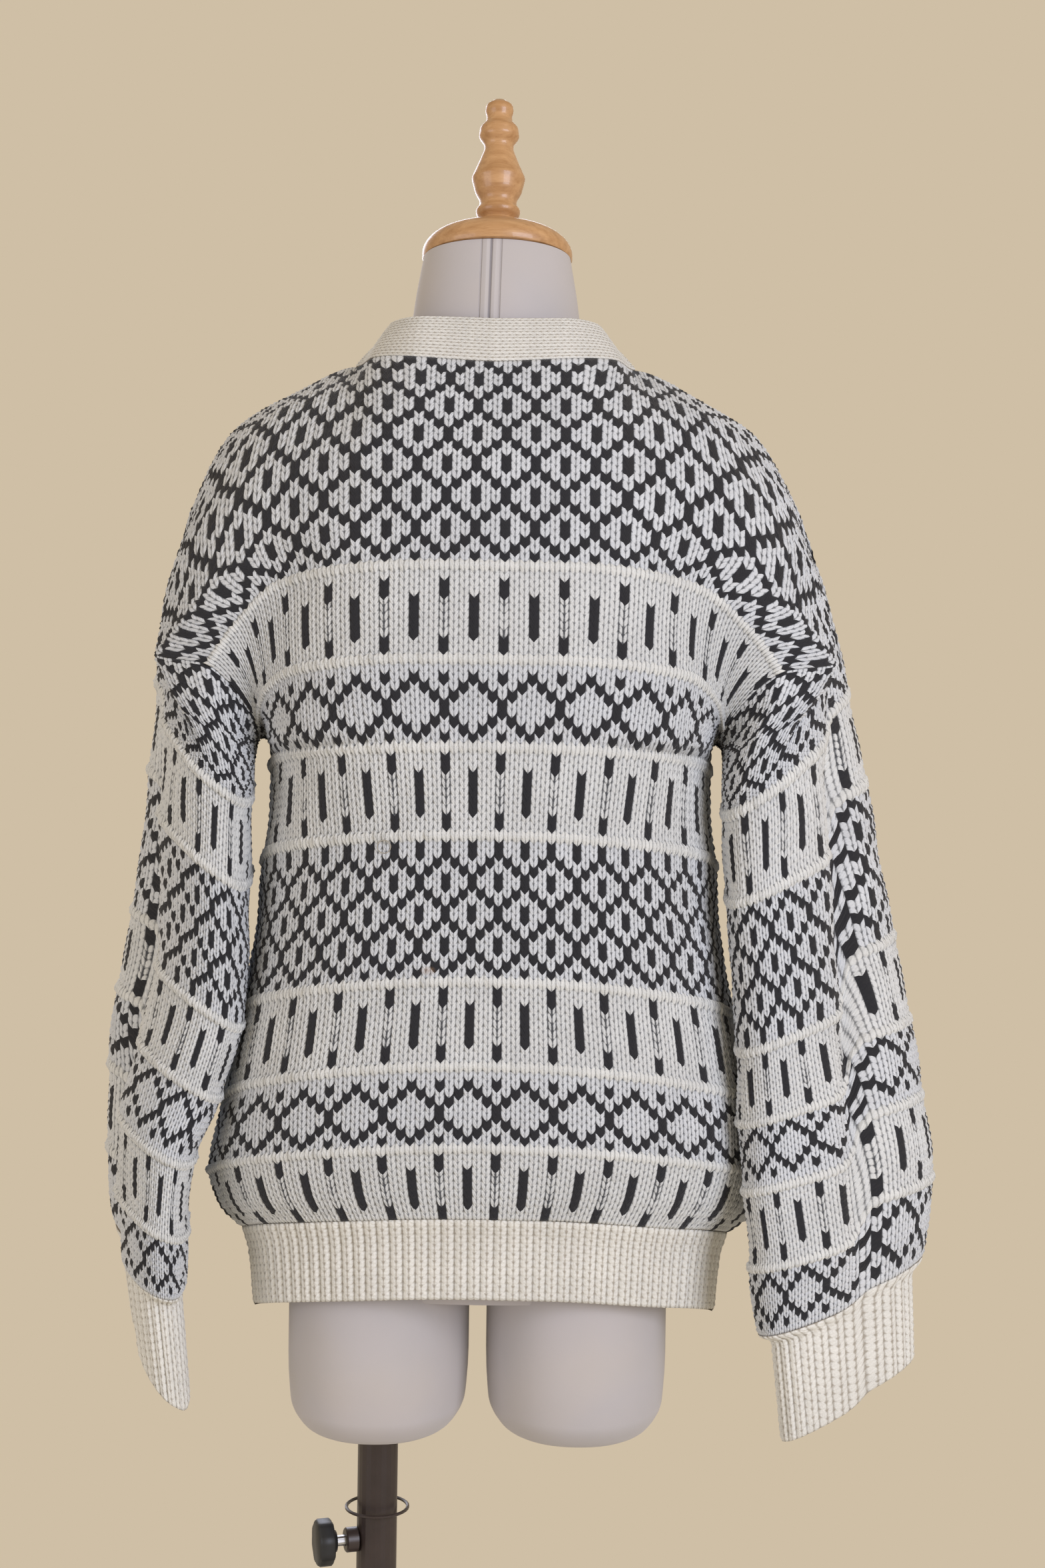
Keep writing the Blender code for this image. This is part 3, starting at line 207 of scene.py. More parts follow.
# Cuffs: the fall of the hem's middle, its shift in plan, its size against the sleeve's end
# and the further drop of the hem at the inner side. Most of the narrowing (CUFF_PINCH) comes
# within the first part of the way down (PINCH_WAY).
CUFF_STEPS, CUFF_PINCH, PINCH_WAY = 39, 0.75, 0.12
CUFF_COLUMNS = ("fall", "dx", "dy", "size", "inner_drop")
CUFFS = {"right": (0.076, 0.006, -0.002, 0.80, 0.006), "left": (0.076, -0.012, 0.014, 0.80, 0.010)}

# Dress form sections: height, half width, back and front depth, roundness of the section
# and the forward tilt of the section, in degrees.
FORM = (
    (0.690, 0.128, 0.082, 0.062, 2.3, 0),
    (0.720, 0.142, 0.094, 0.078, 2.3, 0),
    (0.780, 0.156, 0.113, 0.092, 2.3, 0),
    (0.840, 0.160, 0.115, 0.099, 2.3, 0),
    (0.900, 0.152, 0.107, 0.099, 2.2, 0),
    (0.960, 0.132, 0.092, 0.090, 2.1, 0),
    (1.020, 0.116, 0.084, 0.086, 2.1, 0),
    (1.080, 0.128, 0.096, 0.103, 2.1, 0),
    (1.140, 0.142, 0.110, 0.121, 2.1, 0),
    (1.180, 0.148, 0.116, 0.118, 2.1, 0),
    (1.230, 0.154, 0.114, 0.100, 2.0, 0),
    (1.270, 0.166, 0.104, 0.082, 1.9, 0),
    (1.300, 0.176, 0.094, 0.068, 1.8, 0),
    (1.3225, 0.172, 0.078, 0.050, 1.5, 0),
    (1.340, 0.154, 0.070, 0.044, 1.35, 0),
    (1.354, 0.1295, 0.062, 0.040, 1.3, 0),
    (1.368, 0.0985, 0.060, 0.040, 1.35, 0),
    (1.382, 0.0755, 0.060, 0.046, 1.7, 1),
    (1.400, 0.064, 0.058, 0.056, 2.0, 2),
    (1.425, 0.060, 0.053, 0.056, 2.0, 3),
    (1.453, 0.055, 0.046, 0.060, 2.0, 4),
)
# Thigh stump sections: height, half width, back and front depth.
STUMP = (
    (0.5800, 0.026, 0.030, 0.022),
    (0.5815, 0.042, 0.054, 0.040),
    (0.5890, 0.057, 0.074, 0.058),
    (0.6050, 0.065, 0.086, 0.068),
    (0.6400, 0.067, 0.091, 0.072),
    (0.7000, 0.067, 0.091, 0.074),
    (0.7600, 0.064, 0.090, 0.072),
)
STUMP_X = {"left": 0.077, "right": -0.070}
NECK_TILT = math.radians(4)
NECK_TOP = (0.0, -0.0075, 1.4526)
CAP_R, CAP_H = 56.5 * MM, 24 * MM
# Finial profile: radius and height above the cap, in millimetres.
FINIAL = (
    (18.0, 0.0), (18.0, 4.0), (12.0, 8.0), (16.0, 11.0), (17.0, 15.0), (14.0, 19.0),
    (14.0, 23.0), (17.5, 29.0), (19.35, 36.0), (20.3, 40.0), (19.0, 43.0), (15.0, 52.0),
    (11.0, 62.0), (11.0, 66.0), (15.25, 72.0), (14.5, 79.0), (10.0, 84.0), (9.5, 88.0),
    (10.75, 92.0), (10.0, 97.0), (5.0, 100.0),
)


def slope(x, y):
    """Slopes at the points of a curve that keep it from overshooting them."""
    step = np.diff(x)[:, None]
    rise = np.diff(y, axis=0) / step
    product = rise[:-1] * rise[1:]
    inside = np.where(product > 0, 2 * product / (rise[:-1] + rise[1:] + 1e-30), 0)
    return np.vstack([rise[:1], inside, rise[-1:]])


def through(x, y, at):
    """Smooth curve through the points y, one for each x, read at the places at."""
    x = np.asarray(x, float)
    y = np.asarray(y, float).reshape(len(x), -1)
    at = np.clip(np.atleast_1d(np.asarray(at, float)), x[0], x[-1])
    i = np.clip(np.searchsorted(x, at, side="right") - 1, 0, len(x) - 2)
    h = (x[i + 1] - x[i])[:, None]
    t = (at - x[i])[:, None] / h
    m = slope(x, y)
    return (
        (1 + 2 * t) * (1 - t) ** 2 * y[i]
        + t * (1 - t) ** 2 * h * m[i]
        + t * t * (3 - 2 * t) * y[i + 1]
        + t * t * (t - 1) * h * m[i + 1]
    )


def read(columns, table, at):
    """The columns of a table at the places at of its first column, by name."""
    rows = np.array(table, float)
    return dict(zip(columns[1:], through(rows[:, 0], rows[:, 1:], at).T))


def smooth(t):
    """An even rise from 0 at 0 to 1 at 1, flat at both ends."""
    t = np.clip(t, 0, 1)
    return t * t * (3 - 2 * t)


def section(angle, half, back, front, power):
    """Plan of a rounded section: 0 at its left side, a quarter turn at its back."""
    c = np.cos(angle)
    s = np.sin(angle)
    depth = np.where(s > 0, back, front)
    return (
        half * np.sign(c) * np.abs(c) ** (2 / power),
        depth * np.sign(s) * np.abs(s) ** (2 / power),
    )


def body_row(row, shares, side):
    """One row of the lower body, from its middle (share 0) to the side seam (share 1)."""
    v = {k: a[0] for k, a in read(BODY_COLUMNS, BODY, row).items()}
    turn = np.linspace(0, math.pi / 2, 400) if side > 0 else np.linspace(-math.pi / 2, math.pi / 2, 800)
    x, y = section(turn, v["half"], v["back"], v["front"], BODY_POWER)
    if side > 0:
        keep = y >= v["seam_y"]
        x, y = x[keep][::-1], y[keep][::-1]
        z_mid = v["z_back"]
    else:
        keep = (y <= v["seam_y"]) & (x >= BAND / 2)
        x, y = x[keep], y[keep]
        z_mid = v["z_front"]
    z_side = v["z_back"] - v["drop"]
    along = np.concatenate([[0], np.cumsum(np.hypot(np.diff(x), np.diff(y)))])
    at = np.asarray(shares) * along[-1]
    points = np.stack([np.interp(at, along, x), np.interp(at, along, y)], 1)
    z = z_mid + (z_side - z_mid) * np.asarray(shares) ** 2
    return np.column_stack([points, z])


def control_rows(side):
    """The rows that carry a panel's shape, as (row numbers, shares, points)."""
    shares = BACK_SHARES if side > 0 else FRONT_SHARES
    rows = [r[0] for r in BODY]
    points = [body_row(r, shares, side) for r in rows]
    if side > 0:
        upper = {r: np.array(p, float) for r, p in UPPER_BACK.items()}
    else:
        upper = {r: np.array((*p, FRONT_ARMHOLE[r]), float) for r, p in UPPER_FRONT.items()}
        shoulder_shares = NECK_SHARE + (1 - NECK_SHARE) * np.array(FRONT_SHARES)
        upper[TOP_ROW] = through(BACK_SHARES, UPPER_BACK[TOP_ROW], shoulder_shares)
    for row, line in upper.items():
        rows.append(row)
        points.append(line)
    return np.array(rows, float), np.array(shares), np.array(points)


CONTROL = {1: control_rows(1), -1: control_rows(-1)}


def panel_points(side, rows, shares, hand):
    """Grid of points of the back (side 1) or a front (side -1); hand 1 is the wearer's left."""
    at_rows, at_shares, points = CONTROL[side]
    flat = through(at_rows, points.reshape(len(at_rows), -1), rows)
    grid = flat.reshape(len(rows), len(at_shares), 3).transpose(1, 0, 2).reshape(len(at_shares), -1)
    full = through(at_shares, grid, shares).reshape(len(shares), len(rows), 3).transpose(1, 0, 2)
    if hand < 0:
        more = read(RIGHT_REACH_COLUMNS, RIGHT_REACH, full[..., 2].ravel())["more"].reshape(full.shape[:2])
        full = full.copy()
        full[..., 0] += more * smooth((full[..., 0] - REACH_FROM) / REACH_OVER)
        full[..., 0] *= -1
    return full


def lengths(line):
    """The way along a polyline up to each of its points."""
    return np.concatenate([[0], np.cumsum(np.linalg.norm(np.diff(line, axis=0), axis=1))])


def at_lengths(points, lengths_there, wanted):
    """Points at the wanted lengths along a polyline."""
    return np.array([np.interp(wanted, lengths_there, points[:, i]) for i in range(3)]).T


def unit(v):
    """Vectors of length 1."""
    return v / np.maximum(np.linalg.norm(v, axis=-1, keepdims=True), 1e-12)


def normals(grid, wrap, outward):
    """Unit normals of a grid of points, on the side that outward (a sign) asks for."""
    if wrap:
        around = np.roll(grid, -1, 1) - np.roll(grid, 1, 1)
    else:
        around = np.gradient(grid, axis=1)
    along = np.gradient(grid, axis=0)
    return unit(np.cross(around, along)) * outward


def across_edge(line, normal, inside):
    """Unit directions square to an edge line and to its normals, towards the inside."""
    tangent = unit(np.gradient(line, axis=0))
    square = unit(np.cross(normal, tangent))
    return square * np.sign((square * (inside - line)).sum(axis=1, keepdims=True))


def along_line(points, shares):
    """Points at the given shares of the way along a polyline, counted by its points."""
    at = np.asarray(shares) * (len(points) - 1)
    i = np.clip(at.astype(int), 0, len(points) - 2)
    t = (at - i)[:, None]
    return points[i] * (1 - t) + points[i + 1] * t


def sleeve_ring(hand, row, turn):
    """Points of one sleeve section; turn 0 faces outwards and a quarter turn faces back."""
    side = "left" if hand > 0 else "right"
    v = {k: a[0] for k, a in read(SLEEVE_COLUMNS, SLEEVES[side], row).items()}
    yaw = math.radians(v["turn"])
    w, t = section(2 * math.pi * turn + yaw, 1.0, 1.0, INNER_SIDE, SLEEVE_POWER)
    back = np.clip(t, 0, 1)
    dip = v["valley"] * np.exp(-((w / VALLEY_WIDTH) ** 2)) * back
    along, across = w * v["wide"], t * v["thick"] - dip
    x = v["x"] + along * math.cos(yaw) + across * math.sin(yaw)
    y = v["y"] - along * math.sin(yaw) + across * math.cos(yaw)
    step = v["jump"] / 2
    z = v["z"] + (v["rise"] + step) * w + v["roll"] * t
    z = z + back * step * (np.tanh(w / JUMP_WIDTH) - w)
    return np.column_stack([x * hand, y, z])


def row_places(low, high, ridges, bands, first_rows=None):
    """Places, heights and slants of a fine grid's rows, and the kind, number and chart of each.

    The kind is 0 on a purl ridge and 1 on a row of stitches. first_rows is the number of
    knitted rows before the first ridge, where it isn't the usual one.
    """
    edges = sorted({low, high, *ridges})
    places, heights, slants, cells = [], [], [], []
    for start, end in zip(edges, edges[1:]):
        pattern = [p for r, p in bands if r <= start][-1]
        at_ridge = start in ridges
        if at_ridge:
            for place, height in zip(RIDGE_PLACES, RIDGE_HEIGHTS):
                places.append(start + place)
                heights.append(height)
                slants.append(CREST_SLANT if height > 1 else FOOT_SLANT)
                cells.append((0, -1, pattern))
        first = start + (RIDGE_HALF if at_ridge else 0)
        last = end - (RIDGE_HALF if end in ridges else 0)
        count = int(round(end - start)) - (1 if at_ridge else 0)
        if start == low and first_rows:
            count = first_rows
        pitch = (last - first) / count
        for j in range(count):
            for k, height in enumerate(ALONG_HEIGHTS):
                places.append(first + (j + k / STEPS) * pitch)
                heights.append(height)
                slants.append(min(1.0, pitch * 1.03))
                cells.append((1, j + 1, pattern))
    places.append(float(high))
    heights.append(0.3)
    slants.append(0.0)
    places, slants = np.array(places), np.array(slants)
    inside = smooth((places - low) / 1.0) * smooth((high - places) / 1.0)
    return places, np.array(heights), slants * inside, cells


def row_counts(cells):
    """Every grid row's place counted in knitted rows, the last border too."""
    starts = [i for i, cell in enumerate(cells) if i == 0 or cell[:2] != cells[i - 1][:2]]
    starts.append(len(cells))
    return np.interp(np.arange(len(cells) + 1), starts, np.arange(len(starts)))


def nearest(places, wanted):
    """Numbers of the grid rows that lie nearest to the wanted rows."""
    return sorted({int(np.argmin(np.abs(places - row))) for row in wanted})


def sampled(dense, step, low, places):
    """Points of a grid with even rows, at a place of its own for every row and column."""
    at = np.clip((places - low) / step, 0, len(dense) - 1.001)
    i = at.astype(int)
    t = (at - i)[..., None]
    column = np.broadcast_to(np.arange(dense.shape[1]), at.shape)
    return dense[i, column] * (1 - t) + dense[i + 1, column] * t


def waves(points):
    """Soft small undulations of hand-knitted cloth, as a height at each point."""
    x, y, z = (points[..., i] for i in range(3))
    return 0.5 * MM * (
        np.sin(61 * x + 35 * z + 1.3) + np.sin(43 * y - 57 * z + 0.4) + np.sin(97 * z + 40 * x - 29 * y)
    )


def wall_inside(grid, normal, places):
    """Points of the plain inside of a panel or a sleeve, at rows of its own."""
    rows = np.repeat(places[:, None], grid.shape[1], 1)
    return sampled(grid - normal * WALL, DENSE, 0, rows)


def knitted(dense, normal, step, low, rows, phases, across, up, relief=RELIEF, undulate=1.0):
    """Points of the stitches over a smooth grid: legs raised, every row bent into a chevron.

    phases is the number of columns of a stitch, across holds their heights, up is 1 where the
    rows are counted upwards and undulate is the share of the cloth's soft waves.
    """
    places, heights, slants, cells = rows
    n = len(across)
    column = np.arange(dense.shape[1]) % n
    centre = phases / 2
    bend = np.abs(column - centre) / centre
    target = places[:, None] + up * SLANT * slants[:, None] * (bend[None] - 0.5)
    target = np.clip(target, places[0], places[-1])
    base = sampled(dense, step, low, target)
    out = unit(sampled(normal, step, low, target))
    level = heights[:, None] * np.array(across)[column][None]
    ridge = np.array([c[0] == 0 for c in cells] + [False])
    knobbly = 1 - RIDGE_ROUGHNESS * (1 - np.array(across)[column])
    knobbly *= 1 + RIDGE_WOBBLE * np.repeat(rng.standard_normal(len(column) // n + 1), n)[: len(column)]
    level[ridge] = heights[ridge, None] * knobbly[None]
    edge = np.minimum(np.arange(len(places)), np.arange(len(places))[::-1])
    level = level * (0.35 + 0.65 * smooth(edge / 2.0))[:, None]
    level = level * (1 + WOBBLE * rng.standard_normal(level.shape))
    lift = relief * level - SINK + undulate * waves(base)
    return base + out * lift[..., None]


def grid_mesh(name, points):
    """A mesh of a grid of points, with the row and the column of each of its vertices."""
    rows, cols = points.shape[:2]
    bm = bmesh.new()
    bmesh.ops.create_grid(bm, x_segments=cols - 1, y_segments=rows - 1, size=1)
    mesh = bpy.data.meshes.new(name)
    bm.to_mesh(mesh)
    bm.free()
    flat = np.empty(len(mesh.vertices) * 3)
    mesh.vertices.foreach_get("co", flat)
    flat = flat.reshape(-1, 3)
    col = np.rint((flat[:, 0] + 1) / 2 * (cols - 1)).astype(int)
    row = np.rint((flat[:, 1] + 1) / 2 * (rows - 1)).astype(int)
    mesh.vertices.foreach_set("co", points[row, col].ravel())
    return mesh, row, col


def edge_rim(bm, fine, coarse, picks):
    """Faces between a fine border line and a coarse one whose points face those at picks."""
    for a, b, low, high in zip(picks, picks[1:], coarse, coarse[1:]):
        middle = (a + b) // 2
        for k in range(a, b):
            bm.faces.new((fine[k], fine[k + 1], low if k < middle else high))
        bm.faces.new((low, fine[middle], high))


def picked(count, step):
    """Every step-th of count places and the last one."""
    picks = list(range(0, count, step))
    if picks[-1] != count - 1:
        picks.append(count - 1)
    return picks


def linked(name, data):
    """A new object of the scene."""
    made = bpy.data.objects.new(name, data)
    bpy.context.scene.collection.objects.link(made)
    return made


def cloth(name, node, outer, inner, row_picks, col_picks, wrap, tone, u, v, skin):
    """A closed piece of knitting: a fine outside, a coarse inside and the rims between them.

    tone gives (dark, shade, warmth) for each face of the outside; u and v count stitches and
    rows. The piece stands for the CAD node.
    """
    mesh, row, col = grid_mesh(name, outer + (FORM_X, 0, 0))
    back, back_row, back_col = grid_mesh(name + "_inside", inner + (FORM_X, 0, 0))
    bm = bmesh.new()
    bm.from_mesh(mesh)
    bm.from_mesh(back)
    bm.verts.ensure_lookup_table()
    front_at = {(r, c): i for i, (r, c) in enumerate(zip(row, col))}
    back_at = {(r, c): len(row) + i for i, (r, c) in enumerate(zip(back_row, back_col))}
    rows, cols = outer.shape[:2]
    low_rows, low_cols = inner.shape[:2]

    def line(table, keys):
        return [bm.verts[table[k]] for k in keys]

    for r, b in ((0, 0), (rows - 1, low_rows - 1)):
        edge_rim(bm, line(front_at, [(r, c) for c in range(cols)]),
                 line(back_at, [(b, c) for c in range(low_cols)]), col_picks)
    if not wrap:
        for c, b in ((0, 0), (cols - 1, low_cols - 1)):
            edge_rim(bm, line(front_at, [(r, c) for r in range(rows)]),
                     line(back_at, [(r, b) for r in range(low_rows)]), row_picks)
    whole = bpy.data.meshes.new(name)
    bm.to_mesh(whole)
    bm.free()
    bpy.data.meshes.remove(mesh)
    bpy.data.meshes.remove(back)
    corners = np.empty(len(whole.loops), np.int32)
    whole.loops.foreach_get("vertex_index", corners)
    faces = (rows - 1) * (cols - 1)
    front = corners[: faces * 4]
    uv = np.full((len(corners), 2), 0.5)
    uv[: faces * 4] = np.column_stack([np.asarray(u)[col[front]], np.asarray(v)[row[front]]])
    whole.uv_layers.new(name="stitches").data.foreach_set("uv", uv.ravel())
    face_row = row[front].reshape(-1, 4).min(axis=1)
    face_col = col[front].reshape(-1, 4).min(axis=1)
    # Inside and rim faces get INSIDE_TONE, which paints them dark with the gap shade.
    yarn = np.tile(INSIDE_TONE, (len(whole.polygons), 1))
    yarn[:faces] = tone[face_row, face_col]
    layer = whole.attributes.new("yarn", "FLOAT_VECTOR", "FACE")
    layer.data.foreach_set("vector", yarn.ravel())
    bm = bmesh.new()
    bm.from_mesh(whole)
    bmesh.ops.remove_doubles(bm, verts=[x for x in bm.verts if x.is_boundary], dist=0.01 * MM)
    bmesh.ops.recalc_face_normals(bm, faces=bm.faces)
    bm.to_mesh(whole)
    bm.free()
    whole.shade_smooth()
    whole.materials.append(skin)
    made = linked(name, whole)
    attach(made, "figure")
    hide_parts(node)
    return made


def charted(cells, stitches, first):
    """Dark, shade and warmth of every face of a fine grid, by the charts.

    A dark stitch also takes the last third of the row before it, and the marled columns of
    the bars are part dark: dark yarn showing through, and more shade painted round their legs.
    """
    tone = np.zeros((len(cells), stitches * STITCH, 3))
    places = (np.arange(stitches) + first) % REPEAT
    before = None
    for i, (kind, number, pattern) in enumerate(cells):
        if (kind, number) != before:
            shade = SHADE * rng.standard_normal(stitches)
            black = np.isin(places, pattern[number % len(pattern)] if kind else ())
            dark = black.astype(float)
            # Marled columns: their part dark widens and deepens the shade painted round their legs.
            if kind and pattern is BARS and MARLED_SHADED_ROWS[0] <= number <= MARLED_SHADED_ROWS[1]:
                dark[places == 3] = rng.uniform(*PEEK_AND_SHADE, (places == 3).sum())
            if before and before[0] == kind == 1:
                tone[i - 1, :, 0] = np.maximum(tone[i - 1, :, 0], np.repeat(black, STITCH))
        before = (kind, number)
        tone[i, :, 0] = np.repeat(dark, STITCH)
        tone[i, :, 1] = np.repeat(shade, STITCH)
        warmth = BAR_WARMTH if pattern is BARS else CHART_WARMTH
        tone[i, :, 2] = warmth if kind else RIDGE_WARMTH
    return tone


DENSE = 1 / 3
BODY_DENSE = np.arange(0, TOP_ROW + DENSE / 2, DENSE)
CHART_SHIFT = 3


def panel(side, hand, stitches):
    """Dense points of one half of the back, or of a front, from its middle to its side.

    The columns of stitches spread slowly where the panel widens quickly under the arm.
    """
    shares = np.linspace(0, 1, stitches * STITCH + 1)
    grid = panel_points(side, BODY_DENSE, shares, hand)
    low, high = (int(r / DENSE) for r in EASED_ROWS)
    arc = np.linalg.norm(np.diff(grid, axis=1), axis=2).cumsum(axis=1)
    arc = np.pad(arc, ((0, 0), (1, 0)))
    inner = smooth((1 - shares) / EASED_INNER)
    eased = grid.copy()
    for i in range(low, high):
        part = smooth((i - low) / (high - low))
        wish = arc[low] * (1 - part) + arc[high] * part
        place = np.minimum(wish, arc[i, -1]) * inner + arc[i] * (1 - inner)
        for k in range(3):
            eased[i, :, k] = np.interp(place, arc[i], grid[i, :, k])
    return eased


def seam_normals(back, back_normal, fronts):
    """Makes the normals equal where the panels meet, at the side seams and the shoulders."""
    side_rows = int(UNDERARM_ROW / DENSE) + 1
    back_share = np.abs(np.linspace(-1, 1, back.shape[1]))
    for hand, (_, normal) in fronts.items():
        edge = -1 if hand > 0 else 0
        shared = unit(normal[:side_rows, -1] + back_normal[:side_rows, edge])
        normal[:side_rows, -1] = shared
        back_normal[:side_rows, edge] = shared
        half = slice(back.shape[1] // 2, None) if hand > 0 else slice(back.shape[1] // 2, None, -1)
        share = np.linspace(NECK_SHARE, 1, normal.shape[1])
        own = np.array([np.interp(share, back_share[half], back_normal[-1, half, i]) for i in range(3)]).T
        shared = unit(normal[-1] + own)
        normal[-1] = shared
        seam = back_share[half] >= NECK_SHARE
        merged = np.array([np.interp(back_share[half], share, shared[:, i]) for i in range(3)]).T
        kept = back_normal[-1, half].copy()
        kept[seam] = merged[seam]
        back_normal[-1, half] = unit(kept)


def make_panels(skin):
    """The back and the two fronts, and the smooth grids and normals under their stitches."""
    rows = row_places(0, TOP_ROW, BODY_RIDGES, BODY_BANDS)
    half = BACK_STITCHES // 2
    back = np.concatenate([panel(1, -1, half)[:, ::-1], panel(1, 1, half)[:, 1:]], 1)
    back_normal = outward(back)
    fronts = {}
    for hand in (1, -1):
        grid = panel(-1, hand, FRONT_STITCHES)
        fronts[hand] = (grid, outward(grid))
    seam_normals(back, back_normal, fronts)
    row_picks = nearest(rows[0], BODY_INSIDE)
    made = {}
    pieces = [("back_knit", "back", back, back_normal, BACK_STITCHES, CHART_SHIFT)]
    for hand, side in ((1, "left"), (-1, "right")):
        pieces.append(("front_knit_" + side, "front_" + side, *fronts[hand], FRONT_STITCHES, 1))
    for name, node, grid, normal, stitches, shift in pieces:
        outer = knitted(grid, normal, DENSE, 0, rows, STITCH, LEG_HEIGHTS, 1)
        col_picks = picked(grid.shape[1], 3 * STITCH)
        inside = wall_inside(grid, normal, rows[0][row_picks])
        tone = charted(rows[3], stitches, shift)
        u = np.arange(grid.shape[1]) / STITCH
        made[name] = cloth(name, node, outer, inside[:, col_picks], row_picks, col_picks, False, tone, u,
                           row_counts(rows[3]), skin)
    return made, back, back_normal, fronts


def outward(grid):
    """Unit normals of a body panel, turned away from the form."""
    normal = normals(grid, False, 1)
    low, middle = len(grid) // 3, grid.shape[1] // 2
    return normal * np.sign(np.dot(normal[low, middle], grid[low, middle] * (1, 1, 0)))


def rib_rows(length, step_rows):
    """Rows of a rib: plain stitches all the way, in the measure of the rib's own length."""
    count = max(2, int(round(length / ROW)))
    places, heights = [], []
    for j in range(count):
        for k, height in enumerate(RIB_ALONG):
            places.append((j + k / STEPS) / count * step_rows)
            heights.append(height)
    places.append(float(step_rows))
    heights.append(0.5)
    places = np.array(places)
    slants = smooth(places / step_rows * count) * smooth((step_rows - places) / step_rows * count)
    slants = slants * step_rows / count
    return places, np.array(heights), slants, [(1, j // STEPS) for j in range(STEPS * count)]


def plain_tone(rows, cols):
    """Dark, shade and warmth of every face of a plain ivory piece."""
    tone = np.zeros((rows, cols, 3))
    tone[..., 1] = RIB_SHADE * rng.standard_normal((rows, 1))
    tone[..., 2] = 1.0
    return tone


def ribbed(name, node, dense, spread, length, ribs, relief, thicker, rim_row, wrap, col_step, skin):
    """A ribbed piece over a smooth grid that hangs down from its first row.

    thicker is how far its plain inside lies behind the usual wall, rim_row the row of the
    inside near the top, and a closed ring (wrap) ends in the column that it began with.
    """
    steps, n = len(dense) - 1, RIB * ribs
    rows = rib_rows(length, steps)
    outer = knitted(dense, spread, 1, 0, rows, RIB, RIB_HEIGHTS, -1, relief, 0.0)
    if wrap:
        outer[:, -1] = outer[:, 0]
    else:
        outer += spread[0][None] * waves(dense[0])[None, :, None]
    row_picks, col_picks = [0, rim_row, len(rows[0]) - 1], picked(n + 1, col_step)
    inner = (dense - spread * (WALL + thicker))[np.ix_([0, rim_row, steps], col_picks)]
    tone = plain_tone(len(rows[0]) - 1, n)
    return cloth(name, node, outer, inner, row_picks, col_picks, wrap, tone, np.arange(n + 1) / RIB,
                 row_counts(rows[3]), skin)


def make_hem(name, node, grid, normal, ribs, skin):
    """The ribbed hem below a panel, from the panel's own bottom row."""
    shares = np.linspace(0, 1, RIB * ribs + 1)
    top = along_line(grid[0], shares)
    out = unit(along_line(normal[0], shares) * (1, 1, 0))
    part = np.linspace(0, 1, HEM_STEPS + 1)
    tuck = through(*HEM_TUCK, part)[:, 0]
    dense = top[None] - out[None] * tuck[:, None, None]
    dense[..., 2] -= part[:, None] * HEM_RIB
    spread = np.repeat(out[None], len(dense), 0)
    return ribbed(name, node, dense, spread, HEM_RIB, ribs, HEM_RELIEF, 1.6 * MM, 9, False, 4 * RIB, skin)


def armhole(hand, back, back_normal, fronts):
    """One armhole seam from the shoulder's end round the back: points, ways out, normals."""
    first = int(UNDERARM_ROW / DENSE)
    edge_column = -1 if hand > 0 else 0
    lines = []
    for grid, normal, column in ((back, back_normal, edge_column), (*fronts[hand], -1)):
        beside = grid[first:, column - 1 if column else 1]
        line, out = grid[first:, column], normal[first:, column]
        lines.append((line, -across_edge(line, out, beside), out))
    joined = [np.concatenate([a[::-1], b[1:-1], a[-1:]]) for a, b in zip(*lines)]
    arc = lengths(joined[0])
    even = np.linspace(0, arc[-1], SLEEVE_STITCHES * STITCH + 1)
    return [at_lengths(q, arc, even) for q in joined]


def sleeve_surface(hand, back, back_normal, fronts):
    """Dense rings of a sleeve from the armhole to the cuff, with unit normals."""
    edge, away, out = armhole(hand, back, back_normal, fronts)
    away, out = unit(away), unit(out)
    turn = np.linspace(0, 1, len(edge))
    rings = []
    for row in np.arange(0, CUFF_ROW + DENSE / 2, DENSE):
        share = smooth((row / FREE_ROW) ** 0.8)
        target = sleeve_ring(hand, max(row, SLEEVES["left"][0][0]), turn)
        leaving = edge + away * row * SEAM_STRETCH
        rings.append(leaving * (1 - share) + target * share)
    grid = np.array(rings)
    grid[:, -1] = grid[:, 0]
    normal = normals(grid[:, :-1], True, 1)
    normal = np.concatenate([normal, normal[:, :1]], 1)
    centre = grid.mean(axis=1, keepdims=True)
    if (normal * (grid - centre)).sum() < 0:
        normal = -normal
    normal[0] = out
    normal[1] = unit(normal[1] + out)
    normal[-1] = unit(normal[-1] * (1, 1, 0))
    return grid, normal


def make_sleeve(side, grid, normal, skin):
    """A sleeve from the armhole to the cuff, closed along the seam under the arm."""
    rows = row_places(0, CUFF_ROW, SLEEVE_RIDGES, SLEEVE_BANDS, SLEEVE_CAP_ROWS)
    outer = knitted(grid, normal, DENSE, 0, rows, STITCH, LEG_HEIGHTS, -1)
    outer[:, -1] = outer[:, 0]
    row_picks = nearest(rows[0], SLEEVE_INSIDE)
    col_picks = picked(grid.shape[1], STITCH)
    inside = wall_inside(grid, normal, rows[0][row_picks])
    inside[:, -1] = inside[:, 0]
    tone = charted(rows[3], SLEEVE_STITCHES, 0)
    return cloth("sleeve_knit_" + side, "sleeve_" + side, outer, inside[:, col_picks], row_picks,
                 col_picks, True, tone, np.arange(grid.shape[1]) / STITCH, row_counts(rows[3]), skin)


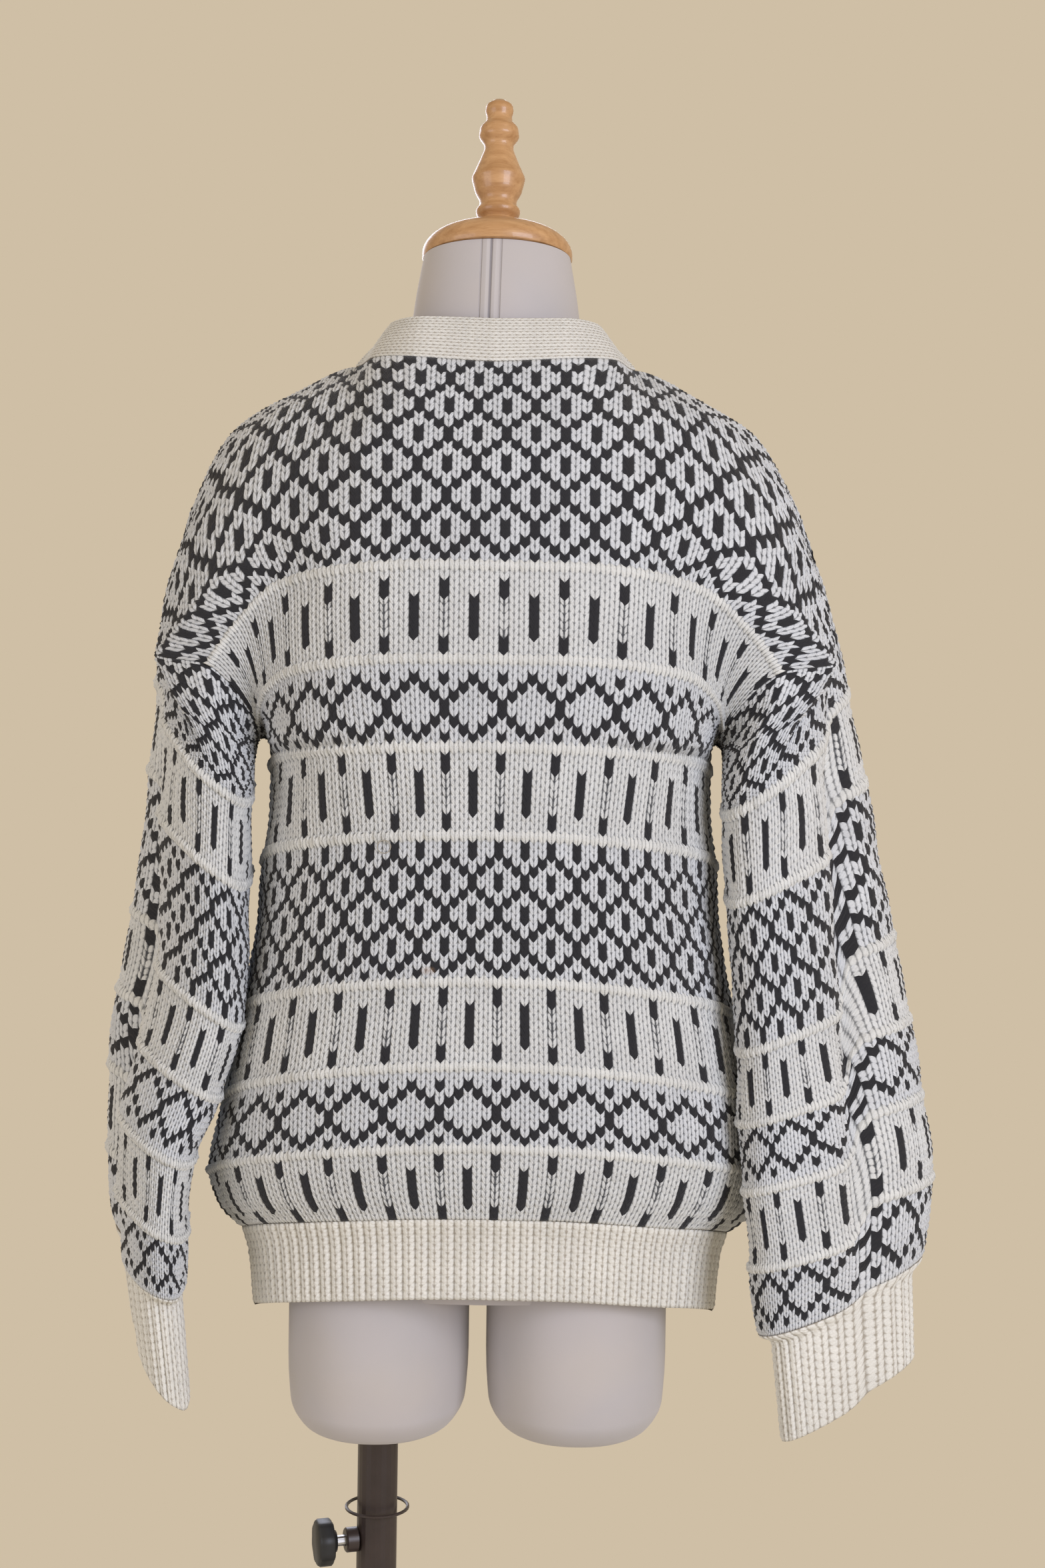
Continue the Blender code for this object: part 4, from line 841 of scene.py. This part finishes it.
def make_cuff(hand, side, end, out, skin):
    """The ribbed cuff below a sleeve, from the sleeve's last ring."""
    v = dict(zip(CUFF_COLUMNS, CUFFS[side]))
    shares = np.linspace(0, 1, RIB * CUFF_RIBS + 1)
    top = along_line(end, shares)
    outward_way = unit(along_line(out, shares) * (1, 1, 0))
    centre = top[:-1].mean(axis=0)
    rings = []
    for part in np.linspace(0, 1, CUFF_STEPS + 1):
        narrower = CUFF_PINCH * smooth(part / PINCH_WAY) + (1 - CUFF_PINCH) * part
        size = 1 + (v["size"] - 1) * narrower
        line = centre + (top - centre) * size
        line += np.array((hand * v["dx"], v["dy"], -v["fall"])) * part
        line[:, 2] -= v["inner_drop"] * part * np.cos(2 * math.pi * (shares - 0.5))
        rings.append(line)
    dense = np.array(rings)
    spread = np.repeat(outward_way[None], len(dense), 0)
    return ribbed("cuff_rib_" + side, "cuff_" + side, dense, spread, v["fall"], CUFF_RIBS, CUFF_RELIEF,
                  1.2 * MM, 6, True, 2 * RIB, skin)


# The neckband's width as a shift from the neckline's edge, for places along it: the V-neck
# rows of a front, then shares of the back neck from the shoulder (NECK_SHARE) to centre back.
NECKBAND_COLUMNS = ("place", "dx", "dy", "dz")
NECKBAND_FRONT = (
    (63, -0.0150, -0.001, 0.004), (67, -0.0195, -0.001, 0.007), (72, -0.026, -0.001, 0.009),
    (78, -0.028, -0.001, 0.010), (92, -0.028, -0.003, 0.012), (99, -0.026, -0.004, 0.015),
    (106, -0.022, -0.001, 0.021),
)
NECKBAND_BACK = (
    (0.0, 0.0, -0.015, 0.034), (0.2, -0.003, -0.014, 0.033), (0.31, -0.013, -0.009, 0.028),
    (0.41, -0.022, -0.001, 0.021),
)


def strip(name, node, dense, normal, relief, undulate, skin):
    """A band knitted lengthways in narrow wales, over a smooth grid with a row for each step."""
    count = len(dense) - 1
    heights = np.append(np.tile(BAND_ALONG, count // STEPS), BAND_ALONG[0])
    slants = np.full(count + 1, BAND_SLANT)
    slants[:STEPS] = 0
    slants[-STEPS - 1:] = 0
    rows = (np.arange(count + 1.0), heights, slants, [(1, i // STEPS) for i in range(count)])
    outer = knitted(dense, normal, 1, 0, rows, STITCH, LEG_HEIGHTS, 1, relief, undulate)
    row_picks, col_picks = picked(count + 1, 4 * STEPS), picked(dense.shape[1], STITCH * NECK_WALES // 2)
    inner = (dense - normal * WALL)[np.ix_(row_picks, col_picks)]
    tone = plain_tone(count, STITCH * NECK_WALES)
    return cloth(name, node, outer, inner, row_picks, col_picks, False, tone,
                 np.arange(dense.shape[1]) / STITCH, np.arange(count + 1) / STEPS, skin)


def make_neckband(skin):
    """The band round the V-neck and the back neck, knitted lengthways in narrow wales."""
    places = []
    dense_rows = np.arange(V_ROW, TOP_ROW + 0.25, 0.5)
    for hand in (1, -1):
        edge = panel_points(-1, dense_rows, [0.0], hand)[:, 0]
        shift = read(NECKBAND_COLUMNS, NECKBAND_FRONT, dense_rows)
        shares = np.linspace(NECK_SHARE, 0, 40)
        neck = panel_points(1, [TOP_ROW], shares, hand)[0]
        back_shift = read(NECKBAND_COLUMNS, NECKBAND_BACK, shares)
        move = [np.concatenate([shift[k], back_shift[k][1:]]) for k in ("dx", "dy", "dz")]
        low = np.vstack([edge, neck[1:]])
        high = low + np.column_stack([move[0] * hand, move[1], move[2]])
        in_front = np.arange(len(high)) < len(edge)
        high[:, 0] = np.where(in_front, hand * np.maximum(np.abs(high[:, 0]), 0.4 * MM), high[:, 0])
        places.append((low, high))
    (low_l, high_l), (low_r, high_r) = places
    low = np.vstack([low_l, low_r[::-1][1:]])
    high = np.vstack([high_l, high_r[::-1][1:]])
    arc = lengths((low + high) / 2)
    even = np.linspace(0, arc[-1], STEPS * int(arc[-1] / BAND_ROW) + 1)
    low, high = at_lengths(low, arc, even), at_lengths(high, arc, even)
    share = np.linspace(0, 1, STITCH * NECK_WALES + 1)[None, :, None]
    dense = low[:, None] * (1 - share) + high[:, None] * share
    normal = normals(dense, False, 1)
    if normal[len(low) // 2, 10, 1] < 0:
        normal = -normal
    dense += normal * (1.5 * MM * 4 * share * (1 - share))
    return strip("neckband_knit", "neckband", dense, normal, COLLAR_RELIEF, 0.3, skin)


def make_bands(skin):
    """The two bands down the front, the right one over the left, from hem to V-neck."""
    rows_at = np.linspace(0, V_ROW, 80)
    seam = panel_points(-1, rows_at, [0.0], 1)[:, 0]
    fall = np.array([[0, 10.5 * MM, -HEM_RIB], [0, 8 * MM, -HEM_RIB / 2]])
    line = np.vstack([seam[0] + fall, seam])
    line[-1, 2] -= 1.2 * MM
    arc = lengths(line[:, 1:])
    even = np.linspace(0, arc[-1], STEPS * int(arc[-1] / ROW) + 1)
    _, y, z = at_lengths(line, arc, even).T
    made = []
    for hand, side, step in ((1, "left", 1.5 * MM), (-1, "right", -1.5 * MM)):
        across = np.linspace(0, 1, STITCH * NECK_WALES + 1)
        dense = np.zeros((len(even), len(across), 3))
        dense[..., 0] = hand * (BAND / 2 - GAP - across * (BAND - 4.5 * MM))
        dense[..., 1] = y[:, None] + step * smooth(across / 0.12)
        dense[..., 2] = z[:, None]
        normal = np.zeros_like(dense)
        normal[..., 1] = -1
        made.append(strip("band_knit_" + side, "band_" + side, dense, normal, BAND_RELIEF, 0.0, skin))
    return made


def loft(name, rings, skin):
    """A closed smooth solid through rings of points, with flat ends."""
    outer = np.concatenate([rings, rings[:, :1]], 1)
    mesh, _, _ = grid_mesh(name, outer)
    bm = bmesh.new()
    bm.from_mesh(mesh)
    bmesh.ops.remove_doubles(bm, verts=bm.verts, dist=0.001 * MM)
    bmesh.ops.holes_fill(bm, edges=[e for e in bm.edges if e.is_boundary], sides=0)
    return finished(name, bm, mesh, skin, 50)


def finished(name, bm, mesh, skin, angle):
    """Writes a bmesh as a piece that is smooth up to an angle, in degrees."""
    bmesh.ops.recalc_face_normals(bm, faces=bm.faces)
    bm.to_mesh(mesh)
    bm.free()
    mesh.shade_smooth()
    mesh.set_sharp_from_angle(angle=math.radians(angle))
    mesh.materials.append(skin)
    made = linked(name, mesh)
    return made


def turned(name, profile, steps, skin, place=None):
    """A piece turned about Z from (radius, height) points, then moved to its place."""
    bm = bmesh.new()
    line = [bm.verts.new((r, 0, h)) for r, h in profile]
    for a, b in zip(line, line[1:]):
        bm.edges.new((a, b))
    bmesh.ops.spin(bm, geom=bm.edges[:] + bm.verts[:], angle=2 * math.pi, steps=steps,
                   axis=(0, 0, 1), cent=(0, 0, 0), use_merge=True)
    bmesh.ops.remove_doubles(bm, verts=bm.verts, dist=0.01 * MM)
    if place is not None:
        bmesh.ops.transform(bm, matrix=place, verts=bm.verts)
    return finished(name, bm, bpy.data.meshes.new(name), skin, 35)


def make_form(skin):
    """The padded torso under the cardigan and its two thigh stumps, in smooth cloth."""
    turn = np.arange(96) / 96 * 2 * math.pi
    table = np.array(FORM)
    heights = np.linspace(table[0, 0], table[-1, 0], 110)
    values = through(table[:, 0], table[:, 1:], heights)
    rings = []
    for z, (half, back, front, power, tilt) in zip(heights, values):
        x, y = section(turn, half, back, front, power)
        rings.append(np.column_stack([x + FORM_X, y, z + y * math.tan(math.radians(tilt))]))
    torso = loft("form_torso", np.array(rings), skin)
    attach(torso, "figure")
    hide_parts("form")
    turn = np.arange(64) / 64 * 2 * math.pi
    table = np.array(STUMP)
    heights = np.concatenate([np.linspace(0.5800, 0.6050, 16), np.linspace(0.612, 0.76, 12)])
    values = through(table[:, 0], table[:, 1:], heights)
    for side, middle in STUMP_X.items():
        rings = []
        for z, (half, back, front) in zip(heights, values):
            x, y = section(turn, half, back, front, STUMP_POWER)
            rings.append(np.column_stack([x + middle + FORM_X, y, np.full(len(x), z)]))
        stump = loft("form_stump_" + side, np.array(rings), skin)
        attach(stump, "figure")
        if side == "left":
            bore(stump)


def bore(stump):
    """Cuts the pole's hole into the underside of a stump, from well below it."""
    bm = bmesh.new()
    low = 0.5
    depth = TUBE_TOP + GAP - low
    centre = Matrix.Translation((0, 0, low + depth / 2))
    bmesh.ops.create_cone(bm, cap_ends=True, segments=48, radius1=POLE_R + GAP, radius2=POLE_R + GAP,
                          depth=depth, matrix=centre)
    mesh = bpy.data.meshes.new("pole_bore")
    bm.to_mesh(mesh)
    bm.free()
    cutter = linked("pole_bore", mesh)
    cut = stump.modifiers.new("bore", "BOOLEAN")
    cut.operation = "DIFFERENCE"
    cut.solver = "EXACT"
    cut.object = cutter
    graph = bpy.context.evaluated_depsgraph_get()
    hollow = bpy.data.meshes.new_from_object(stump.evaluated_get(graph))
    stump.modifiers.clear()
    stump.data = hollow
    bpy.data.objects.remove(cutter)


def make_wood(skin):
    """The domed neck cap and the turned finial on it, leaning with the neck."""
    crown = 18 * MM
    side = 5 * MM
    dome = [(0.0, 0.0), (CAP_R - 2 * MM, 0.0), (CAP_R - 0.6 * MM, 0.6 * MM), (CAP_R, 2 * MM), (CAP_R, side)]
    for i in range(1, 20):
        a = i / 20 * math.pi / 2
        dome.append((crown + (CAP_R - crown) * math.cos(a) ** 0.9, side + (CAP_H - side) * math.sin(a)))
    dome += [(crown, CAP_H), (0.0, CAP_H)]
    table = np.array(FINIAL)
    heights = np.unique(np.concatenate([np.linspace(4, table[-1, 1], 90), [0.0]]))
    radii = np.interp(heights, table[:, 1], table[:, 0])
    radii = np.convolve(np.pad(radii, 1, mode="edge"), (0.25, 0.5, 0.25), "valid")
    post = [(0.0, 0.0)] + [(r * MM, h * MM) for r, h in zip(radii, heights)]
    post.append((0.0, FINIAL[-1][1] * MM + 0.6 * MM))
    lean = math.tan(NECK_TILT)
    for name, node, profile, lift in (("cap_wood", "neck_cap", dome, GAP),
                                      ("finial_wood", "finial", post, CAP_H + 2 * GAP)):
        place = Matrix.Translation((FORM_X, NECK_TOP[1] - lift * lean, NECK_TOP[2] + lift))
        place = place @ Matrix.Rotation(NECK_TILT, 4, "X")
        piece = turned(name, profile, 96, skin, place)
        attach(piece, "figure")
        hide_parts(node)


def make_stand(metal):
    """The round base, its hub and the fixed inner pole, finely turned."""
    hub_low = BASE_T + GAP
    bore_r = INNER_POLE_R + GAP
    parts = (
        ("base_disc", "base_plate", "stand",
         [(0, 0), (BASE_R - 1.5 * MM, 0), (BASE_R, 1.5 * MM), (BASE_R, BASE_T - 2 * MM),
          (BASE_R - 0.6 * MM, BASE_T - 0.6 * MM), (BASE_R - 2 * MM, BASE_T), (0, BASE_T)]),
        ("hub_turned", "base_hub", "stand",
         [(bore_r, hub_low), (34 * MM, hub_low), (34 * MM, hub_low + 4 * MM), (22 * MM, hub_low + 9 * MM),
          (20 * MM, hub_low + 40 * MM), (18 * MM, hub_low + 42 * MM), (bore_r, hub_low + 42 * MM),
          (bore_r, hub_low)]),
        ("pole_inner", "inner_pole", "stand",
         [(0, hub_low), (INNER_POLE_R, hub_low), (INNER_POLE_R, INNER_TOP), (0, INNER_TOP)]),
    )
    for name, node, body, profile in parts:
        piece = turned(name, profile, 96, metal)
        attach(piece, body)
        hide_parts(node)


def smooth_copy(node, body, skin):
    """A merged copy of a CAD node with smooth shading, in its place."""
    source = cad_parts[node]
    bm = bmesh.new()
    bm.from_mesh(source.data)
    bmesh.ops.transform(bm, matrix=source.matrix_world, verts=bm.verts)
    bmesh.ops.remove_doubles(bm, verts=bm.verts, dist=0.01 * MM)
    piece = finished(node + "_smooth", bm, bpy.data.meshes.new(node + "_smooth"), skin, 35)
    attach(piece, body)
    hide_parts(node)


def make_thread_loop(skin):
    """The small loose loop of yarn that stands off the back, near its side."""
    radius, thick = 4.6 * MM, 0.35 * MM
    bm = bmesh.new()
    bmesh.ops.create_circle(bm, segments=8, radius=thick)
    bmesh.ops.rotate(bm, verts=bm.verts, cent=(0, 0, 0), matrix=Matrix.Rotation(math.pi / 2, 3, "X"))
    bmesh.ops.translate(bm, verts=bm.verts, vec=(radius, 0, 0))
    bmesh.ops.spin(bm, geom=bm.edges[:] + bm.verts[:], angle=2 * math.pi, steps=28, axis=(0, 0, 1),
                   cent=(0, 0, 0), use_merge=True)
    bmesh.ops.remove_doubles(bm, verts=bm.verts, dist=0.01 * MM)
    place = Matrix.Translation(THREAD_LOOP) @ Matrix.Rotation(math.radians(78), 4, "X")
    bmesh.ops.transform(bm, matrix=place, verts=bm.verts)
    piece = finished("thread_loop", bm, bpy.data.meshes.new("thread_loop"), skin, 60)
    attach(piece, "figure")
    return piece


# Materials. Numbers that are the same all over a surface are set on the shader itself.


class Tree:
    """The nodes of a material or of a group, with short ways to add to them."""

    def __init__(self, node_tree):
        self.nodes = node_tree.nodes
        self.links = node_tree.links

    def add(self, kind, **settings):
        made = self.nodes.new(kind)
        for key, value in settings.items():
            setattr(made, key, value)
        return made

    def put(self, target, value):
        """Sets an input to a number, or links a socket to it."""
        if isinstance(value, bpy.types.NodeSocket):
            self.links.new(value, target)
        else:
            target.default_value = value

    def math(self, operation, a, b=0.0, c=0.0):
        made = self.add("ShaderNodeMath", operation=operation)
        for socket, value in zip(made.inputs, (a, b, c)):
            self.put(socket, value)
        return made.outputs[0]

    def mix(self, share, a, b, blend="MIX"):
        made = self.add("ShaderNodeMix", data_type="RGBA", blend_type=blend)
        self.put(made.inputs["Factor"], share)
        self.put(made.inputs[6], a)
        self.put(made.inputs[7], b)
        return made.outputs[2]

    def place(self):
        """The place in object space."""
        return self.add("ShaderNodeTexCoord").outputs["Object"]

    def parts(self, vector):
        """The three numbers of a vector."""
        made = self.add("ShaderNodeSeparateXYZ")
        self.links.new(vector, made.inputs[0])
        return made.outputs

    def leg(self):
        """How far a point lies from its stitch's edge, 0 to 0.5, and its row, from the UV map."""
        column, row, _ = self.parts(self.add("ShaderNodeUVMap", uv_map="stitches").outputs[0])
        return self.math("PINGPONG", column, 0.5), row

    def noise(self, scale, detail=3.0, where=None, roughness=0.6):
        made = self.add("ShaderNodeTexNoise")
        made.inputs["Scale"].default_value = scale
        made.inputs["Detail"].default_value = detail
        made.inputs["Roughness"].default_value = roughness
        self.links.new(where or self.place(), made.inputs["Vector"])
        return made.outputs["Fac"]

    def ramp(self, value, low, high, to_low=0.0, to_high=1.0):
        made = self.add("ShaderNodeMapRange")
        for socket, number in zip(made.inputs, (value, low, high, to_low, to_high)):
            self.put(socket, number)
        return made.outputs[0]

    def bump(self, height, distance, strength=1.0, under=None):
        made = self.add("ShaderNodeBump")
        made.inputs["Distance"].default_value = distance
        made.inputs["Strength"].default_value = strength
        self.links.new(height, made.inputs["Height"])
        if under is not None:
            self.links.new(under, made.inputs["Normal"])
        return made.outputs["Normal"]

    def spot(self, centre, size):
        """1 at a place and 0 a few sizes away from it, in object space."""
        away = self.add("ShaderNodeVectorMath", operation="SUBTRACT")
        self.links.new(self.place(), away.inputs[0])
        away.inputs[1].default_value = centre
        scaled = self.add("ShaderNodeVectorMath", operation="DIVIDE")
        self.links.new(away.outputs[0], scaled.inputs[0])
        scaled.inputs[1].default_value = size
        length = self.add("ShaderNodeVectorMath", operation="LENGTH")
        self.links.new(scaled.outputs[0], length.inputs[0])
        return self.ramp(length.outputs["Value"], 1.3, 0.5)


class Skin(Tree):
    """A material with its usual shader."""

    def __init__(self, name, roughness, metallic=0.0, sheen=0.0, coat=0.0):
        self.material = bpy.data.materials.new(name)
        self.material.use_nodes = True
        super().__init__(self.material.node_tree)
        self.shader = self.nodes["Principled BSDF"]
        for key, value in (("Roughness", roughness), ("Metallic", metallic), ("Sheen Weight", sheen),
                           ("Coat Weight", coat)):
            self.shader.inputs[key].default_value = value

    def finish(self, colour, normal):
        self.links.new(colour, self.shader.inputs["Base Color"])
        self.links.new(normal, self.shader.inputs["Normal"])
        return self.material


def yarn_plies():
    """Two plies twisted round each other along every leg of a stitch, as a height from 0 to 1."""
    group = bpy.data.node_groups.new("yarn_plies", "ShaderNodeTree")
    group.interface.new_socket("Height", in_out="OUTPUT", socket_type="NodeSocketFloat")
    tree = Tree(group)
    side, row = tree.leg()
    turn = tree.math("ADD", tree.math("MULTIPLY", row, 2.0), tree.math("MULTIPLY", side, 3.0))
    wave = tree.math("SINE", tree.math("MULTIPLY", turn, 2 * math.pi))
    height = tree.math("MULTIPLY_ADD", wave, 0.5, 0.5)
    tree.links.new(height, tree.add("NodeGroupOutput").inputs[0])
    return group


PLIES = yarn_plies()


def leg_gap_shade_mask(tree, more):
    """1 in the hollow round each leg of a stitch and 0 on it, with a woolly edge; more widens it. It masks
    the shade painted there between the legs.
    """
    side, row = tree.leg()
    across = tree.math("ABSOLUTE", tree.math("MULTIPLY_ADD", side, 4.0, -1.0))
    along = tree.math("PINGPONG", tree.math("ADD", row, 0.5), 0.5)
    along = tree.math("POWER", tree.math("MULTIPLY", along, 2.0), 3.0)
    away = tree.math("MULTIPLY_ADD", along, 0.55, tree.math("POWER", across, 1.6))
    away = tree.math("ADD", away, tree.ramp(tree.noise(800, 3), 0.3, 0.7, -0.16, 0.16))
    return tree.ramp(tree.math("ADD", away, more), 0.5, 1.12)


def knit_skin(name, white, cream, black, gap_shade):
    """Wool in two colours by the chart, each stitch a little lighter or darker, with plies.

    The last argument holds the colour painted as shade between the legs of the stitches (in the
    Fair-Isle wool also the dark yarn that shows through there) and its strength in charted and
    in plain rows.
    """
    tree = Skin(name, 0.95, sheen=0.12)
    yarn = tree.add("ShaderNodeAttribute", attribute_name="yarn")
    dark, shade, warmth = tree.parts(yarn.outputs["Vector"])
    light = tree.mix(warmth, (*white, 1), (*cream, 1))
    cloudy = tree.noise(26, 2)
    fibre = tree.noise(1500, 4)
    level = tree.math("MULTIPLY_ADD", shade, 0.035, 1.0)
    level = tree.math("ADD", level, tree.ramp(cloudy, 0.3, 0.7, -0.045, 0.045))
    level = tree.math("ADD", level, tree.ramp(fibre, 0.3, 0.7, -0.12, 0.12))
    light = tree.mix(1.0, light, level, "MULTIPLY")
    lint = tree.ramp(tree.noise(700, 5), 0.60, 0.78, 0.0, 0.5)
    ink = tree.mix(lint, (*black, 1), (*(3.2 * part for part in black), 1))
    # between is the colour painted as shade between the legs (in the Fair-Isle wool also the dark yarn
    # showing through); dark stitches get more of it.
    between, charted_gap_shade, plain_gap_shade = gap_shade
    strength = tree.ramp(warmth, 0.15, 0.9, charted_gap_shade, plain_gap_shade)
    strength = tree.math("MULTIPLY_ADD", dark, 1.2, strength)
    strength.node.use_clamp = True
    # Painted shade: the shade colour is laid into the hollows between the legs of the stitches.
    light = tree.mix(tree.math("MULTIPLY", leg_gap_shade_mask(tree, dark), strength), light, (*between, 1))
    colour = tree.mix(tree.ramp(dark, 0.45, 0.55), light, ink)
    stain = tree.math("MULTIPLY", tree.spot(STAIN, (4.6 * MM, 12 * MM, 2.8 * MM)),
                      tree.ramp(tree.noise(420, 3), 0.35, 0.65, 0.25, 0.9))
    colour = tree.mix(tree.math("MULTIPLY", stain, 0.6), colour, (0.30, 0.17, 0.08, 1))
    plies = tree.add("ShaderNodeGroup")
    plies.node_tree = PLIES
    bend = tree.bump(plies.outputs[0], 0.35 * MM, 0.55)
    bend = tree.bump(fibre, 0.5 * MM, 0.5, bend)
    return tree.finish(colour, bend)


def cover_skin():
    """The form's grey jersey cover, with the closed zip and its two stitch lines at the back, and a raised
    fold beside the zip painted lighter as a highlight.
    """
    tree = Skin("form_jersey", 0.85, sheen=0.15)
    x, y, z = tree.parts(tree.place())
    shown = tree.math("MULTIPLY", tree.ramp(y, 0.0, 0.01), tree.ramp(z, 1.3, 1.36))
    lean = tree.math("MULTIPLY_ADD", tree.math("SUBTRACT", z, 1.42), -0.02, FORM_X + ZIP_X)
    off = tree.math("ABSOLUTE", tree.math("SUBTRACT", x, lean))

    def line(middle, full, none):
        """A line up and down beside the zip, with its distances from full to none."""
        away = tree.math("ABSOLUTE", tree.math("SUBTRACT", off, middle))
        return tree.math("MULTIPLY", tree.ramp(away, full, none, 1.0, 0.0), shown)

    slot_line = line(0.0, 0.0004, 0.0011)
    fold_highlight = line(0.0034, 0.0, 0.0026)
    seam = line(0.0072, 0.0002, 0.0008)
    cloudy = tree.noise(14, 3)
    weave = tree.noise(1800, 2)
    colour = tree.mix(cloudy, (0.47, 0.435, 0.43, 1), (0.41, 0.395, 0.40, 1))
    warm = tree.ramp(tree.noise(9, 2), 0.45, 0.7, 0.0, 0.35)
    colour = tree.mix(warm, colour, (0.47, 0.42, 0.36, 1))
    colour = tree.mix(tree.math("MULTIPLY", slot_line, 0.75), colour, (0.16, 0.15, 0.17, 1))
    colour = tree.mix(tree.math("MULTIPLY", seam, 0.35), colour, (0.24, 0.22, 0.23, 1))
    # Painted highlight: the raised fold beside the zip is made lighter.
    colour = tree.mix(tree.math("MULTIPLY", fold_highlight, 0.25), colour, (0.58, 0.56, 0.56, 1))
    height = tree.math("SUBTRACT", fold_highlight, tree.math("ADD", slot_line, seam))
    bend = tree.bump(height, 0.7 * MM, 0.9)
    bend = tree.bump(weave, 0.12 * MM, 0.4, bend)
    return tree.finish(colour, bend)


def wood_skin():
    """Pale turned beech under varnish: long grain, darker streaks, a few knocks."""
    tree = Skin("beech", 0.42, coat=0.25)
    stretch = tree.add("ShaderNodeMapping")
    tree.links.new(tree.place(), stretch.inputs["Vector"])
    stretch.inputs["Scale"].default_value = (6.0, 60.0, 60.0)
    grain = tree.noise(3.0, 6, stretch.outputs[0], 0.65)
    fine = tree.noise(14.0, 3, stretch.outputs[0])
    colour = tree.mix(tree.ramp(grain, 0.32, 0.68), (0.36, 0.18, 0.065, 1), (0.54, 0.31, 0.14, 1))
    colour = tree.mix(tree.ramp(fine, 0.55, 0.75, 0.0, 0.35), colour, (0.25, 0.11, 0.035, 1))
    knock = tree.ramp(tree.noise(60, 3), 0.70, 0.76, 0.0, 0.5)
    colour = tree.mix(knock, colour, (0.22, 0.10, 0.04, 1))
    return tree.finish(colour, tree.bump(fine, 0.15 * MM, 0.3))


def paint_skin(name, colour, roughness, metallic=0.0):
    """Paint, plastic or metal with faint shades and a fine texture."""
    tree = Skin(name, roughness, metallic)
    spread = tree.noise(45, 4)
    shade = tree.ramp(spread, 0.3, 0.7, 0.85, 1.18)
    shaded = tree.mix(1.0, (*colour, 1), shade, "MULTIPLY")
    return tree.finish(shaded, tree.bump(tree.noise(900, 2), 0.05 * MM, 0.3))


def build():
    """Every piece of the part, with its skin."""
    ink = (0.014, 0.014, 0.017)
    # Last numbers: the near-black shade painted between the legs, with the dark yarn that shows through,
    # and its strengths.
    fair_isle = knit_skin("stranded_wool", (0.585, 0.605, 0.625), (0.64, 0.645, 0.62), ink,
                          ((0.06, 0.064, 0.07), 0.9, 0.75))
    # Last numbers: the tan shade painted between the legs of the ivory rib, and its strengths.
    rib = knit_skin("ivory_wool", (0.64, 0.64, 0.60), (0.68, 0.67, 0.62), ink,
                    ((0.24, 0.20, 0.145), 0.75, 0.75))
    panels, back, back_normal, fronts = make_panels(fair_isle)
    hems = [make_hem("hem_knit_back", "hem_rib_back", back, back_normal, HEM_RIBS_BACK, rib)]
    sleeves, cuffs = {}, {}
    for hand, side in ((1, "left"), (-1, "right")):
        hems.append(make_hem("hem_knit_" + side, "hem_rib_" + side, *fronts[hand], HEM_RIBS_FRONT, rib))
        grid, normal = sleeve_surface(hand, back, back_normal, fronts)
        sleeves[side] = make_sleeve(side, grid, normal, fair_isle)
        cuffs[side] = make_cuff(hand, side, grid[-1], normal[-1], rib)
    collar = make_neckband(rib)
    bands = make_bands(rib)
    loop = make_thread_loop(rib)
    make_form(cover_skin())
    make_wood(wood_skin())
    metal = paint_skin("brown_enamel", (0.036, 0.025, 0.022), 0.38, 0.1)
    make_stand(metal)
    for node in ("post_tube", "wire_ring", "screw_boss"):
        smooth_copy(node, "post", metal)
    smooth_copy("clamp_knob", "knob", paint_skin("knob_plastic", (0.012, 0.0125, 0.013), 0.5))
    smooth_copy("clamp_screw", "knob", paint_skin("screw_steel", (0.5, 0.5, 0.5), 0.35, 1.0))
    horn = paint_skin("ivory_button", (0.70, 0.64, 0.50), 0.3)
    for i in range(1, 6):
        smooth_copy(f"button_{i}", "figure", horn)


def make_stage():
    """A pale floor, a plain warm background, soft lights and the camera."""
    bm = bmesh.new()
    bmesh.ops.create_circle(bm, cap_ends=True, segments=128, radius=1.15)
    mesh = bpy.data.meshes.new("floor")
    bm.to_mesh(mesh)
    bm.free()
    floor = linked("floor", mesh)
    floor.location = (0, 0, -0.5 * MM)
    pale = Skin("floor_paper", 0.9)
    pale.shader.inputs["Base Color"].default_value = (0.64, 0.60, 0.50, 1)
    mesh.materials.append(pale.material)
    world = bpy.data.worlds.new("studio")
    world.use_nodes = True
    bpy.context.scene.world = world
    glow = world.node_tree.nodes["Background"]
    glow.inputs["Color"].default_value = (0.624, 0.521, 0.381, 1)
    glow.inputs["Strength"].default_value = 1.0
    for name, place, size, power in (
        ("key", (-1.9, 2.3, 1.7), 1.6, 58),
        ("fill", (2.2, 2.0, 1.2), 1.8, 22),
        ("rear", (0.6, -2.6, 2.0), 1.8, 42),
    ):
        data = bpy.data.lights.new(name, "AREA")
        data.size = size
        data.energy = power
        data.color = (0.93, 0.99, 1.20)
        lamp = linked(name, data)
        lamp.location = place
        direction = Vector((FORM_X, 0, 1.0)) - Vector(place)
        lamp.rotation_euler = direction.to_track_quat("-Z", "Y").to_euler()
    data = bpy.data.cameras.new("camera")
    data.sensor_width = 36
    data.lens = 3000 / 2352 * data.sensor_width
    camera = linked("camera", data)
    camera.location = (FORM_X - 0.0245, 1.5, 1.06)
    turn = Matrix.Rotation(math.pi, 3, "Z") @ Matrix.Rotation(math.pi / 2, 3, "X")
    camera.rotation_euler = (turn @ Matrix.Rotation(math.radians(0.8), 3, "Z")).to_euler()
    bpy.context.scene.camera = camera
    bpy.context.scene.view_settings.view_transform = "Standard"


build()
make_stage()
